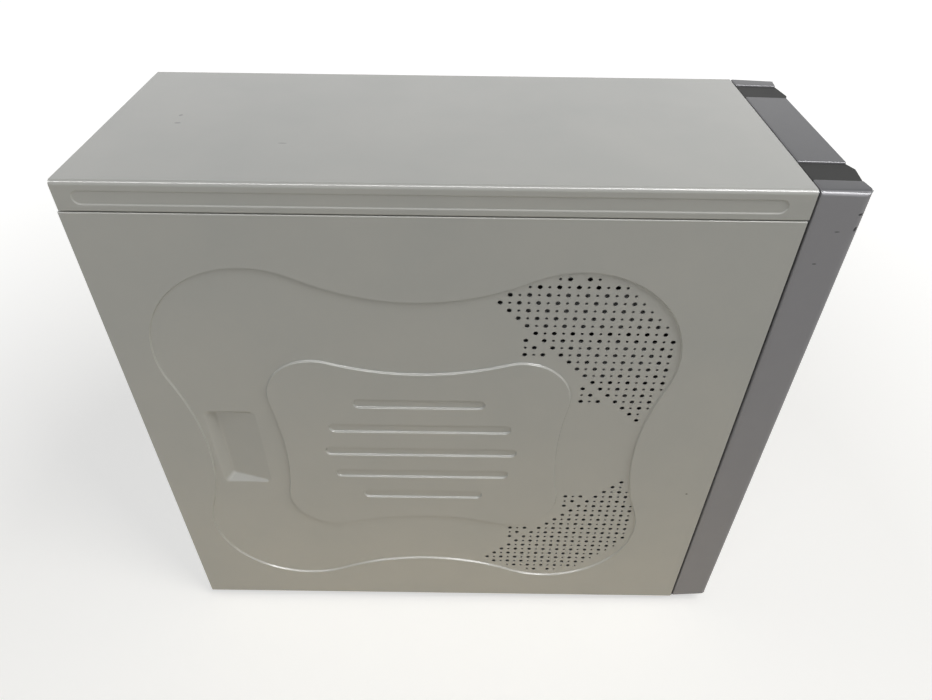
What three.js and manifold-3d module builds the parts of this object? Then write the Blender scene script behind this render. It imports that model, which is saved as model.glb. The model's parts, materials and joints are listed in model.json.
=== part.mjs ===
// A desktop computer of the mid-tower kind: a folded steel chassis with a removable pressed
// side panel, a moulded front bezel, drives, power supply, board, cards and fans.
// Lengths are in millimetres. The front faces -Y, the side that opens faces -X, up is +Z.
// While the pieces are made, y is zero at the side panels' front edge and z is zero under
// the base pan. The finished machine is then set with the middle of its feet at the origin.

import * as THREE from 'three';
import { mergeVertices } from 'three/addons/utils/BufferGeometryUtils.js';
import Module from 'manifold-3d';

const wasm = await Module();
wasm.setup();

// Driving dimensions of the case
const caseWidth = 180; // over the two side panels
const caseHeight = 414; // base pan to top cover, without the feet
const caseDepth = 426; // side panel's front edge to the rear panel's outer face
const panelRoom = 9.5; // a side panel's outer face to the steel frame inside it
const chassisWidth = caseWidth - 2 * panelRoom;
const frameSheet = 0.8; // steel of the chassis
const coverSheet = 1; // steel of the outer panels
const seatGap = 0.3; // between pieces that rest on each other
const runGap = 0.4; // round a piece that slides or turns
const cutOver = 2; // how far a cutter runs past what it cuts
const coverFlange = 18.8; // height of the top cover's side flanges
const coverSeam = 0.6; // between the cover's flange and a side panel
const railHeight = 14; // base pan's upturned edges
const foldReach = 12; // depth of the frame's folded edges

// Driving dimensions of the front bezel
const bezelDepth = 29; // from the side panel's front edge to the middle of the bezel's face
const bezelWall = 2.4;
const finWidth = 14;
const stripWidth = 24;
const stripOuter = caseWidth / 2 - finWidth; // from the middle to a dark strip's outer edge
const stripInner = stripOuter - stripWidth;
const stripProud = 2.8; // a strip's crest in front of the bezel's middle
const stripSeat = 5; // depth of the groove that a strip sits in
const finProud = 2.7; // a side fin's crest in front of the bezel's middle
const topMargin = 12; // bezel above the first wide bay

// Drive bays, as many wide ones as the height leaves above the slim bays and the buttons
const controlsHeight = 230;
const wideBayPitch = 42.3;
const wideBays = Math.floor((caseHeight - topMargin - controlsHeight) / wideBayPitch);
const wideBayWidth = 149.2;
const slimBays = 2;
const slimBayPitch = 26.2;
const slimBayWidth = 102.6;
const bayBridge = 5; // bezel between the wide and the slim bays
const plateGap = 0.4; // round each bay's front plate

// Derived planes that the pieces share
const halfWidth = caseWidth / 2;
const halfChassis = chassisWidth / 2;
const frameBack = -seatGap; // rear face of the front frame
const frameFront = frameBack - frameSheet;
const bezelBack = frameFront - seatGap;
const bezelFace = -bezelDepth;
const rearInner = caseDepth - frameSheet;
const rearOuter = caseDepth;
const coverUnder = caseHeight - coverSheet;
const flangeLow = caseHeight - coverFlange;
const panelLow = seatGap;
const panelHigh = flangeLow - coverSeam;
const frameHigh = coverUnder - seatGap;
const wideBayTop = caseHeight - topMargin;
const wideBayLow = wideBayTop - wideBays * wideBayPitch;
const slimBayTop = wideBayLow - bayBridge;
const slimBayLow = slimBayTop - slimBays * slimBayPitch;

// Turns a closed three.js geometry into a solid that can be joined and cut.
function solidOf(geometry) {
  const bare = geometry.clone();
  bare.deleteAttribute('normal');
  bare.deleteAttribute('uv');
  const welded = mergeVertices(bare);
  return new wasm.Manifold(
    new wasm.Mesh({
      numProp: 3,
      vertProperties: Float32Array.from(welded.attributes.position.array),
      triVerts: Uint32Array.from(welded.index.array),
    }),
  );
}

const join = (...solids) => solids.reduce((sum, one) => sum.add(one));
const cut = (body, ...tools) => tools.reduce((rest, tool) => rest.subtract(tool), body);

// A block between two corners. Its faces lie exactly on the planes given, and so do an
// extrusion's ends, so that pieces which share a plane meet on it without a step.
function block(x0, x1, y0, y1, z0, z1) {
  const box = new THREE.BoxGeometry();
  const position = box.attributes.position;
  const pick = (share, low, high) => (share > 0 ? high : low);
  for (let i = 0; i < position.count; i += 1) {
    const [x, y, z] = [position.getX(i), position.getY(i), position.getZ(i)];
    position.setXYZ(i, pick(x, x0, x1), pick(y, y0, y1), pick(z, z0, z1));
  }
  return solidOf(box);
}

// The outline's first number runs along the first free axis and its second along the other:
// y, z for an extrusion along x; x, z along y; x, y along z.
const layAlong = {
  x: (a, b, far, from, to) => [far ? to : from, a, b],
  y: (a, b, far, from, to) => [a, far ? from : to, b],
  z: (a, b, far, from, to) => [a, b, far ? to : from],
};

// Many like cutters are made as one solid, which is quicker than cutting them one by one.
function extrusions(axis, outlines, from, to) {
  const shapes = outlines.map((one) => new THREE.Shape(one.map(([a, b]) => new THREE.Vector2(a, b))));
  const body = new THREE.ExtrudeGeometry(shapes, { depth: 1, bevelEnabled: false });
  const position = body.attributes.position;
  for (let i = 0; i < position.count; i += 1) {
    const far = position.getZ(i) > 0;
    position.setXYZ(i, ...layAlong[axis](position.getX(i), position.getY(i), far, from, to));
  }
  return solidOf(body);
}

const extrusion = (axis, outline, from, to) => extrusions(axis, [outline], from, to);

// A body turned about an axis, from [radius, height] pairs that start and end on the axis.
function turned(axis, profile, sides, a, b, base) {
  const points = profile.map(([r, h]) => new THREE.Vector2(r, h));
  const body = new THREE.LatheGeometry(points, sides);
  if (axis === 'x') body.rotateZ(-Math.PI / 2).translate(base, a, b);
  if (axis === 'y') body.translate(a, base, b);
  if (axis === 'z') body.rotateX(Math.PI / 2).translate(a, b, base);
  return solidOf(body);
}

const rect = (a0, a1, b0, b1) => [[a0, b0], [a1, b0], [a1, b1], [a0, b1]];

function arc(ca, cb, r, start, end, steps) {
  const points = [];
  for (let i = 0; i <= steps; i += 1) {
    const angle = start + ((end - start) * i) / steps;
    points.push([ca + r * Math.cos(angle), cb + r * Math.sin(angle)]);
  }
  return points;
}

// A regular polygon drawn round a circle, so that a hole clears the round thing in it.
function roundHole(ca, cb, r, sides) {
  const reach = r / Math.cos(Math.PI / sides);
  const phase = Math.PI / sides;
  return arc(ca, cb, reach, phase, phase + 2 * Math.PI, sides).slice(0, -1);
}

// A body between two alike outlines that bulge outwards, square to the y axis
function loft(frontOutline, frontY, rearOutline, rearY) {
  const count = frontOutline.length;
  const points = [
    ...frontOutline.map(([x, z]) => [x, frontY, z]),
    ...rearOutline.map(([x, z]) => [x, rearY, z]),
  ];
  const faces = [];
  for (let i = 0; i < count; i += 1) {
    const next = (i + 1) % count;
    faces.push(i, count + next, next, i, count + i, count + next);
    if (i > 1) faces.push(0, i - 1, i, count, count + i, count + i - 1);
  }
  const body = new THREE.BufferGeometry();
  body.setAttribute('position', new THREE.Float32BufferAttribute(points.flat(), 3));
  body.setIndex(faces);
  return solidOf(body);
}

function roundRect(a0, a1, b0, b1, r, steps) {
  const quarter = Math.PI / 2;
  return [
    ...arc(a1 - r, b1 - r, r, 0, quarter, steps),
    ...arc(a0 + r, b1 - r, r, quarter, 2 * quarter, steps),
    ...arc(a0 + r, b0 + r, r, 2 * quarter, 3 * quarter, steps),
    ...arc(a1 - r, b0 + r, r, 3 * quarter, 4 * quarter, steps),
  ];
}

// Half an outline, given for x above zero, closed by its mirror image.
const mirrored = (half) => [...half, ...half.map(([x, b]) => [-x, b]).reverse()];

const machine = new THREE.Group();

function add(name, solid, color, roughness, metalness) {
  const made = solid.getMesh();
  const geometry = new THREE.BufferGeometry();
  geometry.setAttribute('position', new THREE.BufferAttribute(made.vertProperties, 3));
  geometry.setIndex(new THREE.BufferAttribute(made.triVerts, 1));
  geometry.computeVertexNormals();
  const material = new THREE.MeshStandardMaterial({ color, roughness, metalness });
  const mesh = new THREE.Mesh(geometry, material);
  mesh.name = name;
  machine.add(mesh);
  return mesh;
}

// Colours and finishes
const paintedSteel = [0xb0b2ae, 0.45, 0.2];
const bareSteel = [0xa9abad, 0.4, 0.8];
const silverPlastic = [0x85858a, 0.4, 0.3];
const darkPlastic = [0x484846, 0.5, 0.1];
const blackPlastic = [0x1c1c1e, 0.5, 0];
const boardGreen = [0x1f5a35, 0.5, 0.1];
const aluminium = [0xc4c6c8, 0.35, 0.9];
const rubber = [0x2a2a2a, 0.8, 0];
const greenLens = [0x3fae55, 0.2, 0];
const amberLens = [0xd08a2c, 0.2, 0];

// Chassis: base pan, front frame, rear panel, board tray
const footRadius = 11;
const footHeight = 8;
const footPegRadius = 2.6;
const footInsetX = 22; // from the chassis edge to a foot's middle
const footInsetY = 38; // from the chassis ends to a foot's middle
const footPlaces = [];
for (const side of [-1, 1]) {
  for (const y of [footInsetY, caseDepth - footInsetY]) {
    footPlaces.push([side * (halfChassis - footInsetX), y]);
  }
}

function basePan() {
  const rib = 7; // width of a pressed rib
  const ribRise = 0.6;
  const ribReach = 60; // from each end to a rib's end
  const ribFromMiddle = 26;
  const end = rearInner - seatGap;
  const trough = mirrored([
    [halfChassis, 0],
    [halfChassis, railHeight],
    [halfChassis - frameSheet, railHeight],
    [halfChassis - frameSheet, frameSheet],
  ]);
  let pan = extrusion('y', trough, 0, end);
  for (const x of [-ribFromMiddle, ribFromMiddle]) {
    const outline = roundRect(x - rib / 2, x + rib / 2, ribReach, end - ribReach, rib / 2, 2);
    const hollow = roundRect(
      x - rib / 2 + ribRise, x + rib / 2 - ribRise,
      ribReach + ribRise, end - ribReach - ribRise, rib / 2 - ribRise, 2,
    );
    pan = join(pan, extrusion('z', outline, ribRise, frameSheet + ribRise));
    pan = cut(pan, extrusion('z', hollow, -cutOver, ribRise));
  }
  const pegs = footPlaces.map(([x, y]) => roundHole(x, y, footPegRadius + seatGap, 6));
  add('base_pan', cut(pan, extrusions('z', pegs, -cutOver, frameSheet + cutOver)), ...bareSteel);
}

function feet() {
  const capRise = 2.2; // the peg's head above the base pan
  const capRadius = 4;
  const sole = 1.2; // height of the tapered sole
  const names = ['foot_front_left', 'foot_rear_left', 'foot_front_right', 'foot_rear_right'];
  footPlaces.forEach(([x, y], i) => {
    const top = -seatGap;
    const headLow = frameSheet + seatGap;
    const profile = [
      [0, top - footHeight],
      [footRadius - sole, top - footHeight],
      [footRadius, top - footHeight + sole],
      [footRadius, top],
      [footPegRadius, top],
      [footPegRadius, headLow],
      [capRadius, headLow],
      [footPegRadius, headLow + capRise],
      [0, headLow + capRise],
    ];
    add(names[i], turned('z', profile, 8, x, y, 0), ...rubber);
  });
}

// Bays in the front frame and the bezel's windows have the same middle and the same bars.
const wideWindow = () => rect(-wideBayWidth / 2, wideBayWidth / 2, wideBayLow, wideBayTop);
const slimWindow = () => rect(-slimBayWidth / 2, slimBayWidth / 2, slimBayLow, slimBayTop);

const powerDrop = 33.4; // middle of the power button below the slim bays
const powerZ = slimBayLow - powerDrop;
const powerRadius = 13;
const resetDrop = 30; // reset button below the power button
const resetZ = powerZ - resetDrop;
const resetRadius = 4.2;
const lampZ = resetZ;
const lampRadius = 2.6;
const lampFromMiddle = 22;
const portDrop = 40; // front sockets below the reset button
const portZ = resetZ - portDrop;
const portWidth = 66;
const portHeight = 17;

function frontFrame() {
  const edge = halfWidth - coverSheet - seatGap;
  const slots = 9;
  const slotPitch = 9;
  const slotWidth = 5;
  const intakeLow = 24;
  const intakeHigh = 62;
  let plate = block(-edge, edge, frameFront, frameBack, seatGap, frameHigh);
  for (const side of [-1, 1]) {
    const a = side * halfChassis;
    const b = side * (halfChassis - frameSheet);
    const low = railHeight + seatGap;
    plate = join(plate, block(Math.min(a, b), Math.max(a, b), frameFront, foldReach, low, frameHigh));
  }
  const windows = [wideWindow(), slimWindow()];
  windows.push(roundHole(0, powerZ, powerRadius + bezelWall, 12));
  windows.push(rect(-portWidth / 2, portWidth / 2, portZ - portHeight / 2, portZ + portHeight / 2));
  for (let i = 0; i < slots; i += 1) {
    const x = (i - (slots - 1) / 2) * slotPitch;
    windows.push(rect(x - slotWidth / 2, x + slotWidth / 2, intakeLow, intakeHigh));
  }
  const openings = extrusions('y', windows, frameFront - cutOver, frameBack + cutOver);
  add('front_frame', cut(plate, openings), ...bareSteel);
}

// Power supply, held by the rear panel
const supplyWidth = 150;
const supplyHeight = 86;
const supplyDepth = 140;
const supplyDrop = 6; // below the top cover
const supplyTop = coverUnder - supplyDrop;
const supplyLow = supplyTop - supplyHeight;
const supplyBack = rearInner - seatGap;
const supplyFront = supplyBack - supplyDepth;
const windowMargin = 5; // rear panel round the supply's back

// Main board on its tray, with the ports at the rear
const trayInset = 2.7; // tray's outer face from the chassis edge
const standoffHeight = 6.5;
const boardThickness = 1.6;
const boardHeight = 244;
const boardDepth = 200;
const boardDrop = 4; // below the supply
const trayOuter = halfChassis - trayInset;
const trayInner = trayOuter - frameSheet;
const boardBack = trayInner - standoffHeight - seatGap;
const boardFace = boardBack - boardThickness;
const boardTop = supplyLow - boardDrop;
const boardLow = boardTop - boardHeight;
const boardRear = rearInner - seatGap;
const boardFront = boardRear - boardDepth;

// Openings of the rear panel that follow the board
const apertureHeight = 158.75;
const apertureWidth = 44.45;
const apertureDrop = 3; // below the board's top edge
const apertureTop = boardTop - apertureDrop;
const apertureLow = apertureTop - apertureHeight;
const apertureHigh = boardBack + boardThickness;
const cardSlots = 7;
const openSlots = 3; // slots with a loose bracket; the others keep their knock-out blanks
const cardPitch = 20.32;
const cardWindow = 12.8; // height of a card slot's opening
const cardReach = 100; // length of a card slot's opening
const cardInset = 8; // opening's end from the board's face
const firstCardDrop = 12; // first slot's middle below the port opening
const cardZ = (i) => apertureLow - firstCardDrop - i * cardPitch;

// Case fan
const caseFanSize = 80;
const caseFanDepth = 25;
const caseFanX = -30;
const caseFanDrop = 74; // fan's middle below the board's top
const caseFanZ = boardTop - caseFanDrop;

// Thumbscrews that hold the side panels to the rear panel
const screwInset = 13; // from the case's side to a screw's axis
const screwRise = 52; // from a side panel's end to its screw
const screwShank = 1.7;
const screwHead = 5;
const screwHeadLength = 4;
const bandReach = 18; // side panel's fold over the rear panel
const bandInner = rearOuter + seatGap;
const bandOuter = bandInner + coverSheet;
const screwPlaces = [panelLow + screwRise, panelHigh - screwRise];

function rearPanel() {
  const grillePitch = 14;
  const grilleHole = 4.8;
  const low = frameSheet + seatGap;
  let plate = block(-halfChassis, halfChassis, rearInner, rearOuter, low, frameHigh);
  for (const side of [-1, 1]) {
    const a = side * halfChassis;
    const b = side * (halfChassis - frameSheet);
    const foldLow = railHeight + seatGap;
    const fold = block(Math.min(a, b), Math.max(a, b), rearInner - foldReach, rearOuter, foldLow, frameHigh);
    plate = join(plate, fold);
  }
  const windows = [
    rect(
      -supplyWidth / 2 + windowMargin, supplyWidth / 2 - windowMargin,
      supplyLow + windowMargin, supplyTop - windowMargin,
    ),
    rect(apertureHigh - apertureWidth, apertureHigh, apertureLow, apertureTop),
  ];
  const slotEnd = boardFace - cardInset;
  const slit = 1.2; // cut along each edge of a knock-out blank
  for (let i = 0; i < cardSlots; i += 1) {
    const slotLow = cardZ(i) - cardWindow / 2;
    const slotHigh = cardZ(i) + cardWindow / 2;
    if (i < openSlots) {
      windows.push(rect(slotEnd - cardReach, slotEnd, slotLow, slotHigh));
    } else {
      windows.push(rect(slotEnd - cardReach, slotEnd, slotLow, slotLow + slit));
      windows.push(rect(slotEnd - cardReach, slotEnd, slotHigh - slit, slotHigh));
    }
  }
  for (const side of [-1, 1]) {
    for (const z of screwPlaces) {
      windows.push(roundHole(side * (halfWidth - screwInset), z, screwShank + runGap, 6));
    }
  }
  // Round holes on a triangular grid, as many as the fan's circle holds
  const rowPitch = grillePitch * Math.sin(Math.PI / 3);
  const rows = Math.floor(caseFanSize / 2 / rowPitch);
  for (let row = -rows; row <= rows; row += 1) {
    const shift = row % 2 === 0 ? 0 : grillePitch / 2;
    for (let column = -rows; column <= rows; column += 1) {
      const x = column * grillePitch + shift;
      const z = row * rowPitch;
      if (Math.hypot(x, z) + grilleHole < caseFanSize / 2) {
        windows.push(roundHole(caseFanX + x, caseFanZ + z, grilleHole, 6));
      }
    }
  }
  const openings = extrusions('y', windows, rearInner - cutOver, rearOuter + cutOver);
  add('rear_panel', cut(plate, openings), ...bareSteel);
}

function boardTray() {
  const lip = 9; // folded front edge
  const trayTop = boardTop;
  const trayFront = boardFront - lip;
  const trayLow = railHeight + seatGap;
  const standRadius = 3;
  const standInset = 8;
  const window = 60; // side of the opening behind the processor
  const trayRear = rearInner - seatGap;
  let tray = block(trayInner, trayOuter, trayFront, trayRear, trayLow, trayTop);
  tray = join(tray, block(trayInner - lip, trayOuter, trayFront, trayFront + frameSheet, trayLow, trayTop));
  const ledge = (z) => block(
    trayInner, halfChassis - frameSheet - seatGap,
    trayFront, trayRear - foldReach, z, z + frameSheet,
  );
  tray = join(tray, ledge(trayLow), ledge(trayTop - frameSheet));
  for (const y of [boardFront + standInset, (boardFront + boardRear) / 2, boardRear - standInset]) {
    for (const z of [boardLow + standInset, boardTop - standInset]) {
      const stand = roundHole(y, z, standRadius, 6);
      tray = join(tray, extrusion('x', stand, trayInner - standoffHeight, trayInner + frameSheet / 2));
    }
  }
  const y = (boardFront + boardRear) / 2;
  const z = boardTop - window;
  const opening = rect(y - window / 2, y + window / 2, z - window / 2, z + window / 2);
  const cutter = extrusion('x', opening, trayInner - cutOver, trayOuter + cutOver);
  add('board_tray', cut(tray, cutter), ...bareSteel);
}

// Outer steel: top cover and side panels
const pressDepth = 0.8; // depth of every pressed shape in the outer steel
const pressLap = 1; // metal that joins a pressed level to the next
const coverCorner = 3;
const jReturn = 8; // height of a side panel's return folds
const lipReach = halfWidth - halfChassis - seatGap;

function topCover() {
  const inner = coverCorner - coverSheet;
  const beadFront = 13.7;
  const beadRear = 9.7;
  const beadRise = 3.8; // bead above the flange's lower edge
  const beadHeight = 9.4;
  const steps = 4;
  const quarter = Math.PI / 2;
  const outside = arc(halfWidth - coverCorner, caseHeight - coverCorner, coverCorner, quarter, 0, steps);
  const inside = arc(halfWidth - coverCorner, caseHeight - coverCorner, inner, 0, quarter, steps);
  const profile = mirrored([
    ...outside,
    [halfWidth, flangeLow],
    [halfWidth - lipReach, flangeLow],
    [halfWidth - lipReach, flangeLow + coverSheet],
    [halfWidth - coverSheet, flangeLow + coverSheet],
    ...inside,
  ]);
  let cover = extrusion('y', profile, 0, caseDepth);
  const bead = [beadFront, caseDepth - beadRear, flangeLow + beadRise, flangeLow + beadRise + beadHeight];
  for (const side of [-1, 1]) {
    const pad = roundRect(
      bead[0] - pressLap, bead[1] + pressLap, bead[2] - pressLap, bead[3] + pressLap,
      beadHeight / 2 + pressLap, 3,
    );
    cover = join(cover, sheetLayer(side, pad, pressDepth, pressDepth + coverSheet));
    cover = cut(cover, sheetLayer(side, roundRect(...bead, beadHeight / 2, 3), -cutOver, pressDepth));
  }
  add('top_cover', cover, ...paintedSteel);
}

// A flat layer of a side, from one depth under the side's outer face to a deeper one.
function sheetLayer(side, outline, shallow, deep) {
  const a = side * (halfWidth - shallow);
  const b = side * (halfWidth - deep);
  return extrusion('x', outline, Math.min(a, b), Math.max(a, b));
}

function sheetBlock(side, shallow, deep, y0, y1, z0, z1) {
  return sheetLayer(side, rect(y0, y1, z0, z1), shallow, deep);
}

// The pressed outline: four round lobes joined by hollow arcs, alike in every quarter. Each
// hollow arc touches the two lobes beside it, which settles its radius.
const cushionFront = 50.5; // panel's front edge to the recess
const cushionRear = 23.7; // recess to the panel's rear edge
const cushionFoot = 31.7; // panel's lower edge to the recess
const cushionTop = 36.1; // recess to the panel's upper edge
const outerLobe = 71.3; // radius of the recess's lobes
const outerWaist = 16; // hollow arc behind the lobes' ends, at the sides
const outerDip = 24.3; // and at the top and bottom
const raisedSetY = 69.8; // recess's end to the raised middle's end
const raisedSetZ = 74.65;
const raisedLobe = 34.4;
const raisedWaist = 5;
const raisedDip = 11;
const cushionY = (cushionFront + caseDepth - cushionRear) / 2;
const cushionZ = (panelLow + cushionFoot + panelHigh - cushionTop) / 2;
const cushionReachY = (caseDepth - cushionFront - cushionRear) / 2;
const cushionReachZ = (panelHigh - cushionTop - panelLow - cushionFoot) / 2;
const raisedReachY = cushionReachY - raisedSetY;
const raisedReachZ = cushionReachZ - raisedSetZ;
const outerCushion = {
  lobeY: cushionReachY - outerLobe,
  lobeZ: cushionReachZ - outerLobe,
  radius: outerLobe,
  dip: cushionReachZ - outerDip,
  waist: cushionReachY - outerWaist,
  steps: [4, 9, 4],
};
const innerCushion = {
  lobeY: raisedReachY - raisedLobe,
  lobeZ: raisedReachZ - raisedLobe,
  radius: raisedLobe,
  dip: raisedReachZ - raisedDip,
  waist: raisedReachY - raisedWaist,
  steps: [3, 7, 3],
};

function cushion(form, grow) {
  const radius = form.radius + grow;
  const dip = form.dip + grow;
  const waist = form.waist + grow;
  const hollow = (along, across, edge) =>
    (along ** 2 + (edge - across) ** 2 - radius ** 2) / (2 * (radius - (edge - across)));
  const topRadius = hollow(form.lobeY, form.lobeZ, dip);
  const sideRadius = hollow(form.lobeZ, form.lobeY, waist);
  const sideTurn = Math.atan2(form.lobeZ, waist + sideRadius - form.lobeY);
  const topTurn = Math.atan2(form.lobeY, dip + topRadius - form.lobeZ);
  const half = Math.PI / 2;
  const quarter = [
    ...arc(waist + sideRadius, 0, sideRadius, Math.PI, Math.PI - sideTurn, form.steps[0]),
    ...arc(form.lobeY, form.lobeZ, radius, -sideTurn, half + topTurn, form.steps[1]).slice(1),
    ...arc(0, dip + topRadius, topRadius, topTurn - half, -half, form.steps[2]).slice(1),
  ];
  const upper = [...quarter, ...quarter.slice(0, -1).reverse().map(([y, z]) => [-y, z])];
  const lower = upper.slice(1, -1).reverse().map(([y, z]) => [y, -z]);
  return [...upper, ...lower].map(([y, z]) => [cushionY + y, cushionZ + z]);
}

function isInside(outline, a, b) {
  let inside = false;
  outline.forEach(([a1, b1], i) => {
    const [a0, b0] = outline[(i + outline.length - 1) % outline.length];
    if (b1 > b !== b0 > b && a < a1 + ((b - b1) * (a0 - a1)) / (b0 - b1)) inside = !inside;
  });
  return inside;
}

// The vent's holes fill the front lobe of the recess between two diagonals, and two wedges
// of three rows stand off behind it. Large and small holes alternate, and the lower vent
// mirrors the upper one. Only the large ones are cut here.
const ventColumnPitch = 6.02;
const ventRowPitch = 6.085;
const ventRows = 21;
const ventColumns = 20;
const ventBehind = 50.9; // first column behind the front lobe's middle
const ventDrop = 4.6; // first row below the recess's top
const ventRise = 9; // the lower vent's last row above the recess's foot
const ventStartY = ventBehind - outerCushion.lobeY; // first column, from the recess's middle
const ventZ = cushionZ + (ventRise - ventDrop) / 2; // line that the two vents mirror each other in
const ventStartZ = cushionReachZ - (ventDrop + ventRise) / 2; // first row, from that line
const ventMargin = 2.8; // hole's middle to the recess's edge
const ventRadius = 1.5;
const ventSides = 4;
const rearRows = 3; // rows above the one where the rear diagonal meets the first column
const frontColumns = 12; // columns behind the one where the front diagonal meets the first row
const wedgeRows = 3;
const wedgeStarts = [[3, 8], [10, 15]]; // column and row of each wedge's tip

function isVentHole(column, row) {
  if (column - row > frontColumns) return false;
  if (column >= row - rearRows) return true;
  return wedgeStarts.some(([firstColumn, firstRow]) => {
    const down = row - firstRow;
    return down >= 0 && down < wedgeRows && column >= firstColumn && column <= firstColumn + down;
  });
}

function ventHoles() {
  const edge = cushion(outerCushion, -ventMargin);
  const holes = [];
  for (let row = 0; row < ventRows; row += 1) {
    for (let column = 0; column < ventColumns; column += 1) {
      const y = cushionY + ventStartY - column * ventColumnPitch;
      const rise = ventStartZ - row * ventRowPitch;
      const large = (column + row) % 2 === 1;
      if (large && isVentHole(column, row) && isInside(edge, y, ventZ + rise)) {
        holes.push(roundHole(y, ventZ + rise, ventRadius, ventSides));
        holes.push(roundHole(y, ventZ - rise, ventRadius, ventSides));
      }
    }
  }
  return holes;
}

// Straight beads that stiffen the raised middle, longest at its centre line
const beadCount = 5;
const beadWidth = 9;
const beadSetY = 33.7; // raised middle's end to the longest bead's end
const beadSetZ = 23.9; // raised middle's top to the top of the oval that the beads' ends follow
const beadClear = 16; // outermost bead's middle below the oval's top
const beadReach = raisedReachY - beadSetY; // half the longest bead
const beadSpread = raisedReachZ - beadSetZ;
const beadPitch = (2 * (beadSpread - beadClear)) / (beadCount - 1);

function panelBeads(grow) {
  const beads = [];
  for (let i = 0; i < beadCount; i += 1) {
    const rise = (i - (beadCount - 1) / 2) * beadPitch;
    const reach = beadReach * Math.sqrt(1 - (rise / beadSpread) ** 2) + grow;
    const half = beadWidth / 2 + grow;
    const z = cushionZ + rise;
    beads.push(roundRect(cushionY - reach, cushionY + reach, z - half, z + half, half, 3));
  }
  return beads;
}

// The finger recess: a ramp that runs deeper towards the rear
const gripRear = 45.3; // recess's rear edge from the panel's rear edge
const gripLength = 37.2;
const gripHeight = 78.6;
const gripDepth = 8;
const gripCorner = 4;
const gripDraft = 2;

function fingerRecess(side, panel, level) {
  const rear = bandOuter - gripRear;
  const front = rear - gripLength;
  const low = cushionZ - gripHeight / 2;
  const high = cushionZ + gripHeight / 2;
  const foot = rear - gripDraft; // deepest line of the ramp
  const middle = level + coverSheet / 2;
  const back = gripDepth + coverSheet;
  const deeper = gripDepth - level;
  const above = (level + cutOver) / deeper;
  const hollow = [
    [-cutOver, front - (foot - front) * above],
    [gripDepth, foot],
    [-cutOver, rear + gripDraft * above],
  ];
  const shell = [
    [middle, front - pressLap],
    [back, foot],
    [back, foot + pressLap],
    [middle, rear + 2 * pressLap],
  ];
  const ramp = (points) => {
    const section = points.map(([depth, y]) => [side * (halfWidth - depth), y]);
    return extrusion('z', section, low - cutOver, high + cutOver);
  };
  const ring = (grow, along, deep) => {
    const edge = roundRect(front - along, rear + along, low - grow, high + grow, gripCorner + grow, 3);
    return sheetLayer(side, edge, -2 * cutOver, deep);
  };
  const shellBody = ramp(shell).intersect(ring(pressLap, 2 * pressLap, back + cutOver));
  return cut(join(panel, shellBody), ramp(hollow).intersect(ring(0, pressLap, back)));
}

// A flat side with its lips, its return folds and the band that laps the rear panel
function sidePanelSheet(side) {
  const out = (points) => points.map(([depth, b]) => [side * (halfWidth - depth), b]);
  const inner = lipReach - coverSheet;
  const section = [
    [0, panelLow],
    [lipReach, panelLow],
    [lipReach, panelLow + jReturn],
    [inner, panelLow + jReturn],
    [inner, panelLow + coverSheet],
    [coverSheet, panelLow + coverSheet],
    [coverSheet, panelHigh - coverSheet],
    [inner, panelHigh - coverSheet],
    [inner, panelHigh - jReturn],
    [lipReach, panelHigh - jReturn],
    [lipReach, panelHigh],
    [0, panelHigh],
  ];
  const rearCorner = [
    [0, caseDepth],
    [0, bandOuter],
    [bandReach, bandOuter],
    [bandReach, bandInner],
    [coverSheet, bandInner],
    [coverSheet, caseDepth],
  ];
  const holes = screwPlaces.map((z) => roundHole(side * (halfWidth - screwInset), z, screwShank + runGap, 6));
  const band = cut(
    extrusion('z', out(rearCorner), panelLow, panelHigh),
    extrusions('y', holes, bandInner - cutOver, bandOuter + cutOver),
  );
  const frontLip = sheetBlock(side, 0, lipReach, 0, coverSheet, panelLow, panelHigh);
  return join(extrusion('y', out(section), coverSheet, caseDepth), frontLip, band);
}

function leftPanel() {
  const side = -1;
  const deep = pressDepth + coverSheet;
  const skin = cut(
    sidePanelSheet(side),
    sheetLayer(side, cushion(outerCushion, 0), -cutOver, coverSheet + cutOver),
  );
  const ring = cut(
    sheetLayer(side, cushion(outerCushion, pressLap), pressDepth, deep),
    sheetLayer(side, cushion(innerCushion, -pressLap), -cutOver, deep + cutOver),
    extrusions('x', ventHoles(), -halfWidth - cutOver, -halfWidth + deep + cutOver),
  );
  const island = cut(
    sheetLayer(side, cushion(innerCushion, 0), 0, coverSheet),
    extrusions('x', panelBeads(0), -halfWidth - cutOver, -halfWidth + coverSheet + cutOver),
  );
  const beads = extrusions('x', panelBeads(pressLap), -halfWidth + pressDepth, -halfWidth + deep);
  const pressed = fingerRecess(side, join(skin, ring, island, beads), pressDepth);
  add('side_panel_left', pressed, ...paintedSteel);
}

function rightPanel() {
  const side = 1;
  add('side_panel_right', fingerRecess(side, sidePanelSheet(side), 0), ...paintedSteel);
}

function thumbscrews() {
  const base = bandOuter + seatGap;
  const collar = 1.5;
  const profile = [
    [0, rearInner],
    [screwShank, rearInner],
    [screwShank, base],
    [screwHead - collar, base],
    [screwHead, base + collar],
    [screwHead, base + screwHeadLength],
    [0, base + screwHeadLength],
  ];
  for (const [side, name] of [[-1, 'left'], [1, 'right']]) {
    const x = side * (halfWidth - screwInset);
    add(`thumbscrew_${name}_lower`, turned('y', profile, 8, x, screwPlaces[0], 0), ...aluminium);
    add(`thumbscrew_${name}_upper`, turned('y', profile, 8, x, screwPlaces[1], 0), ...aluminium);
  }
}

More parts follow.
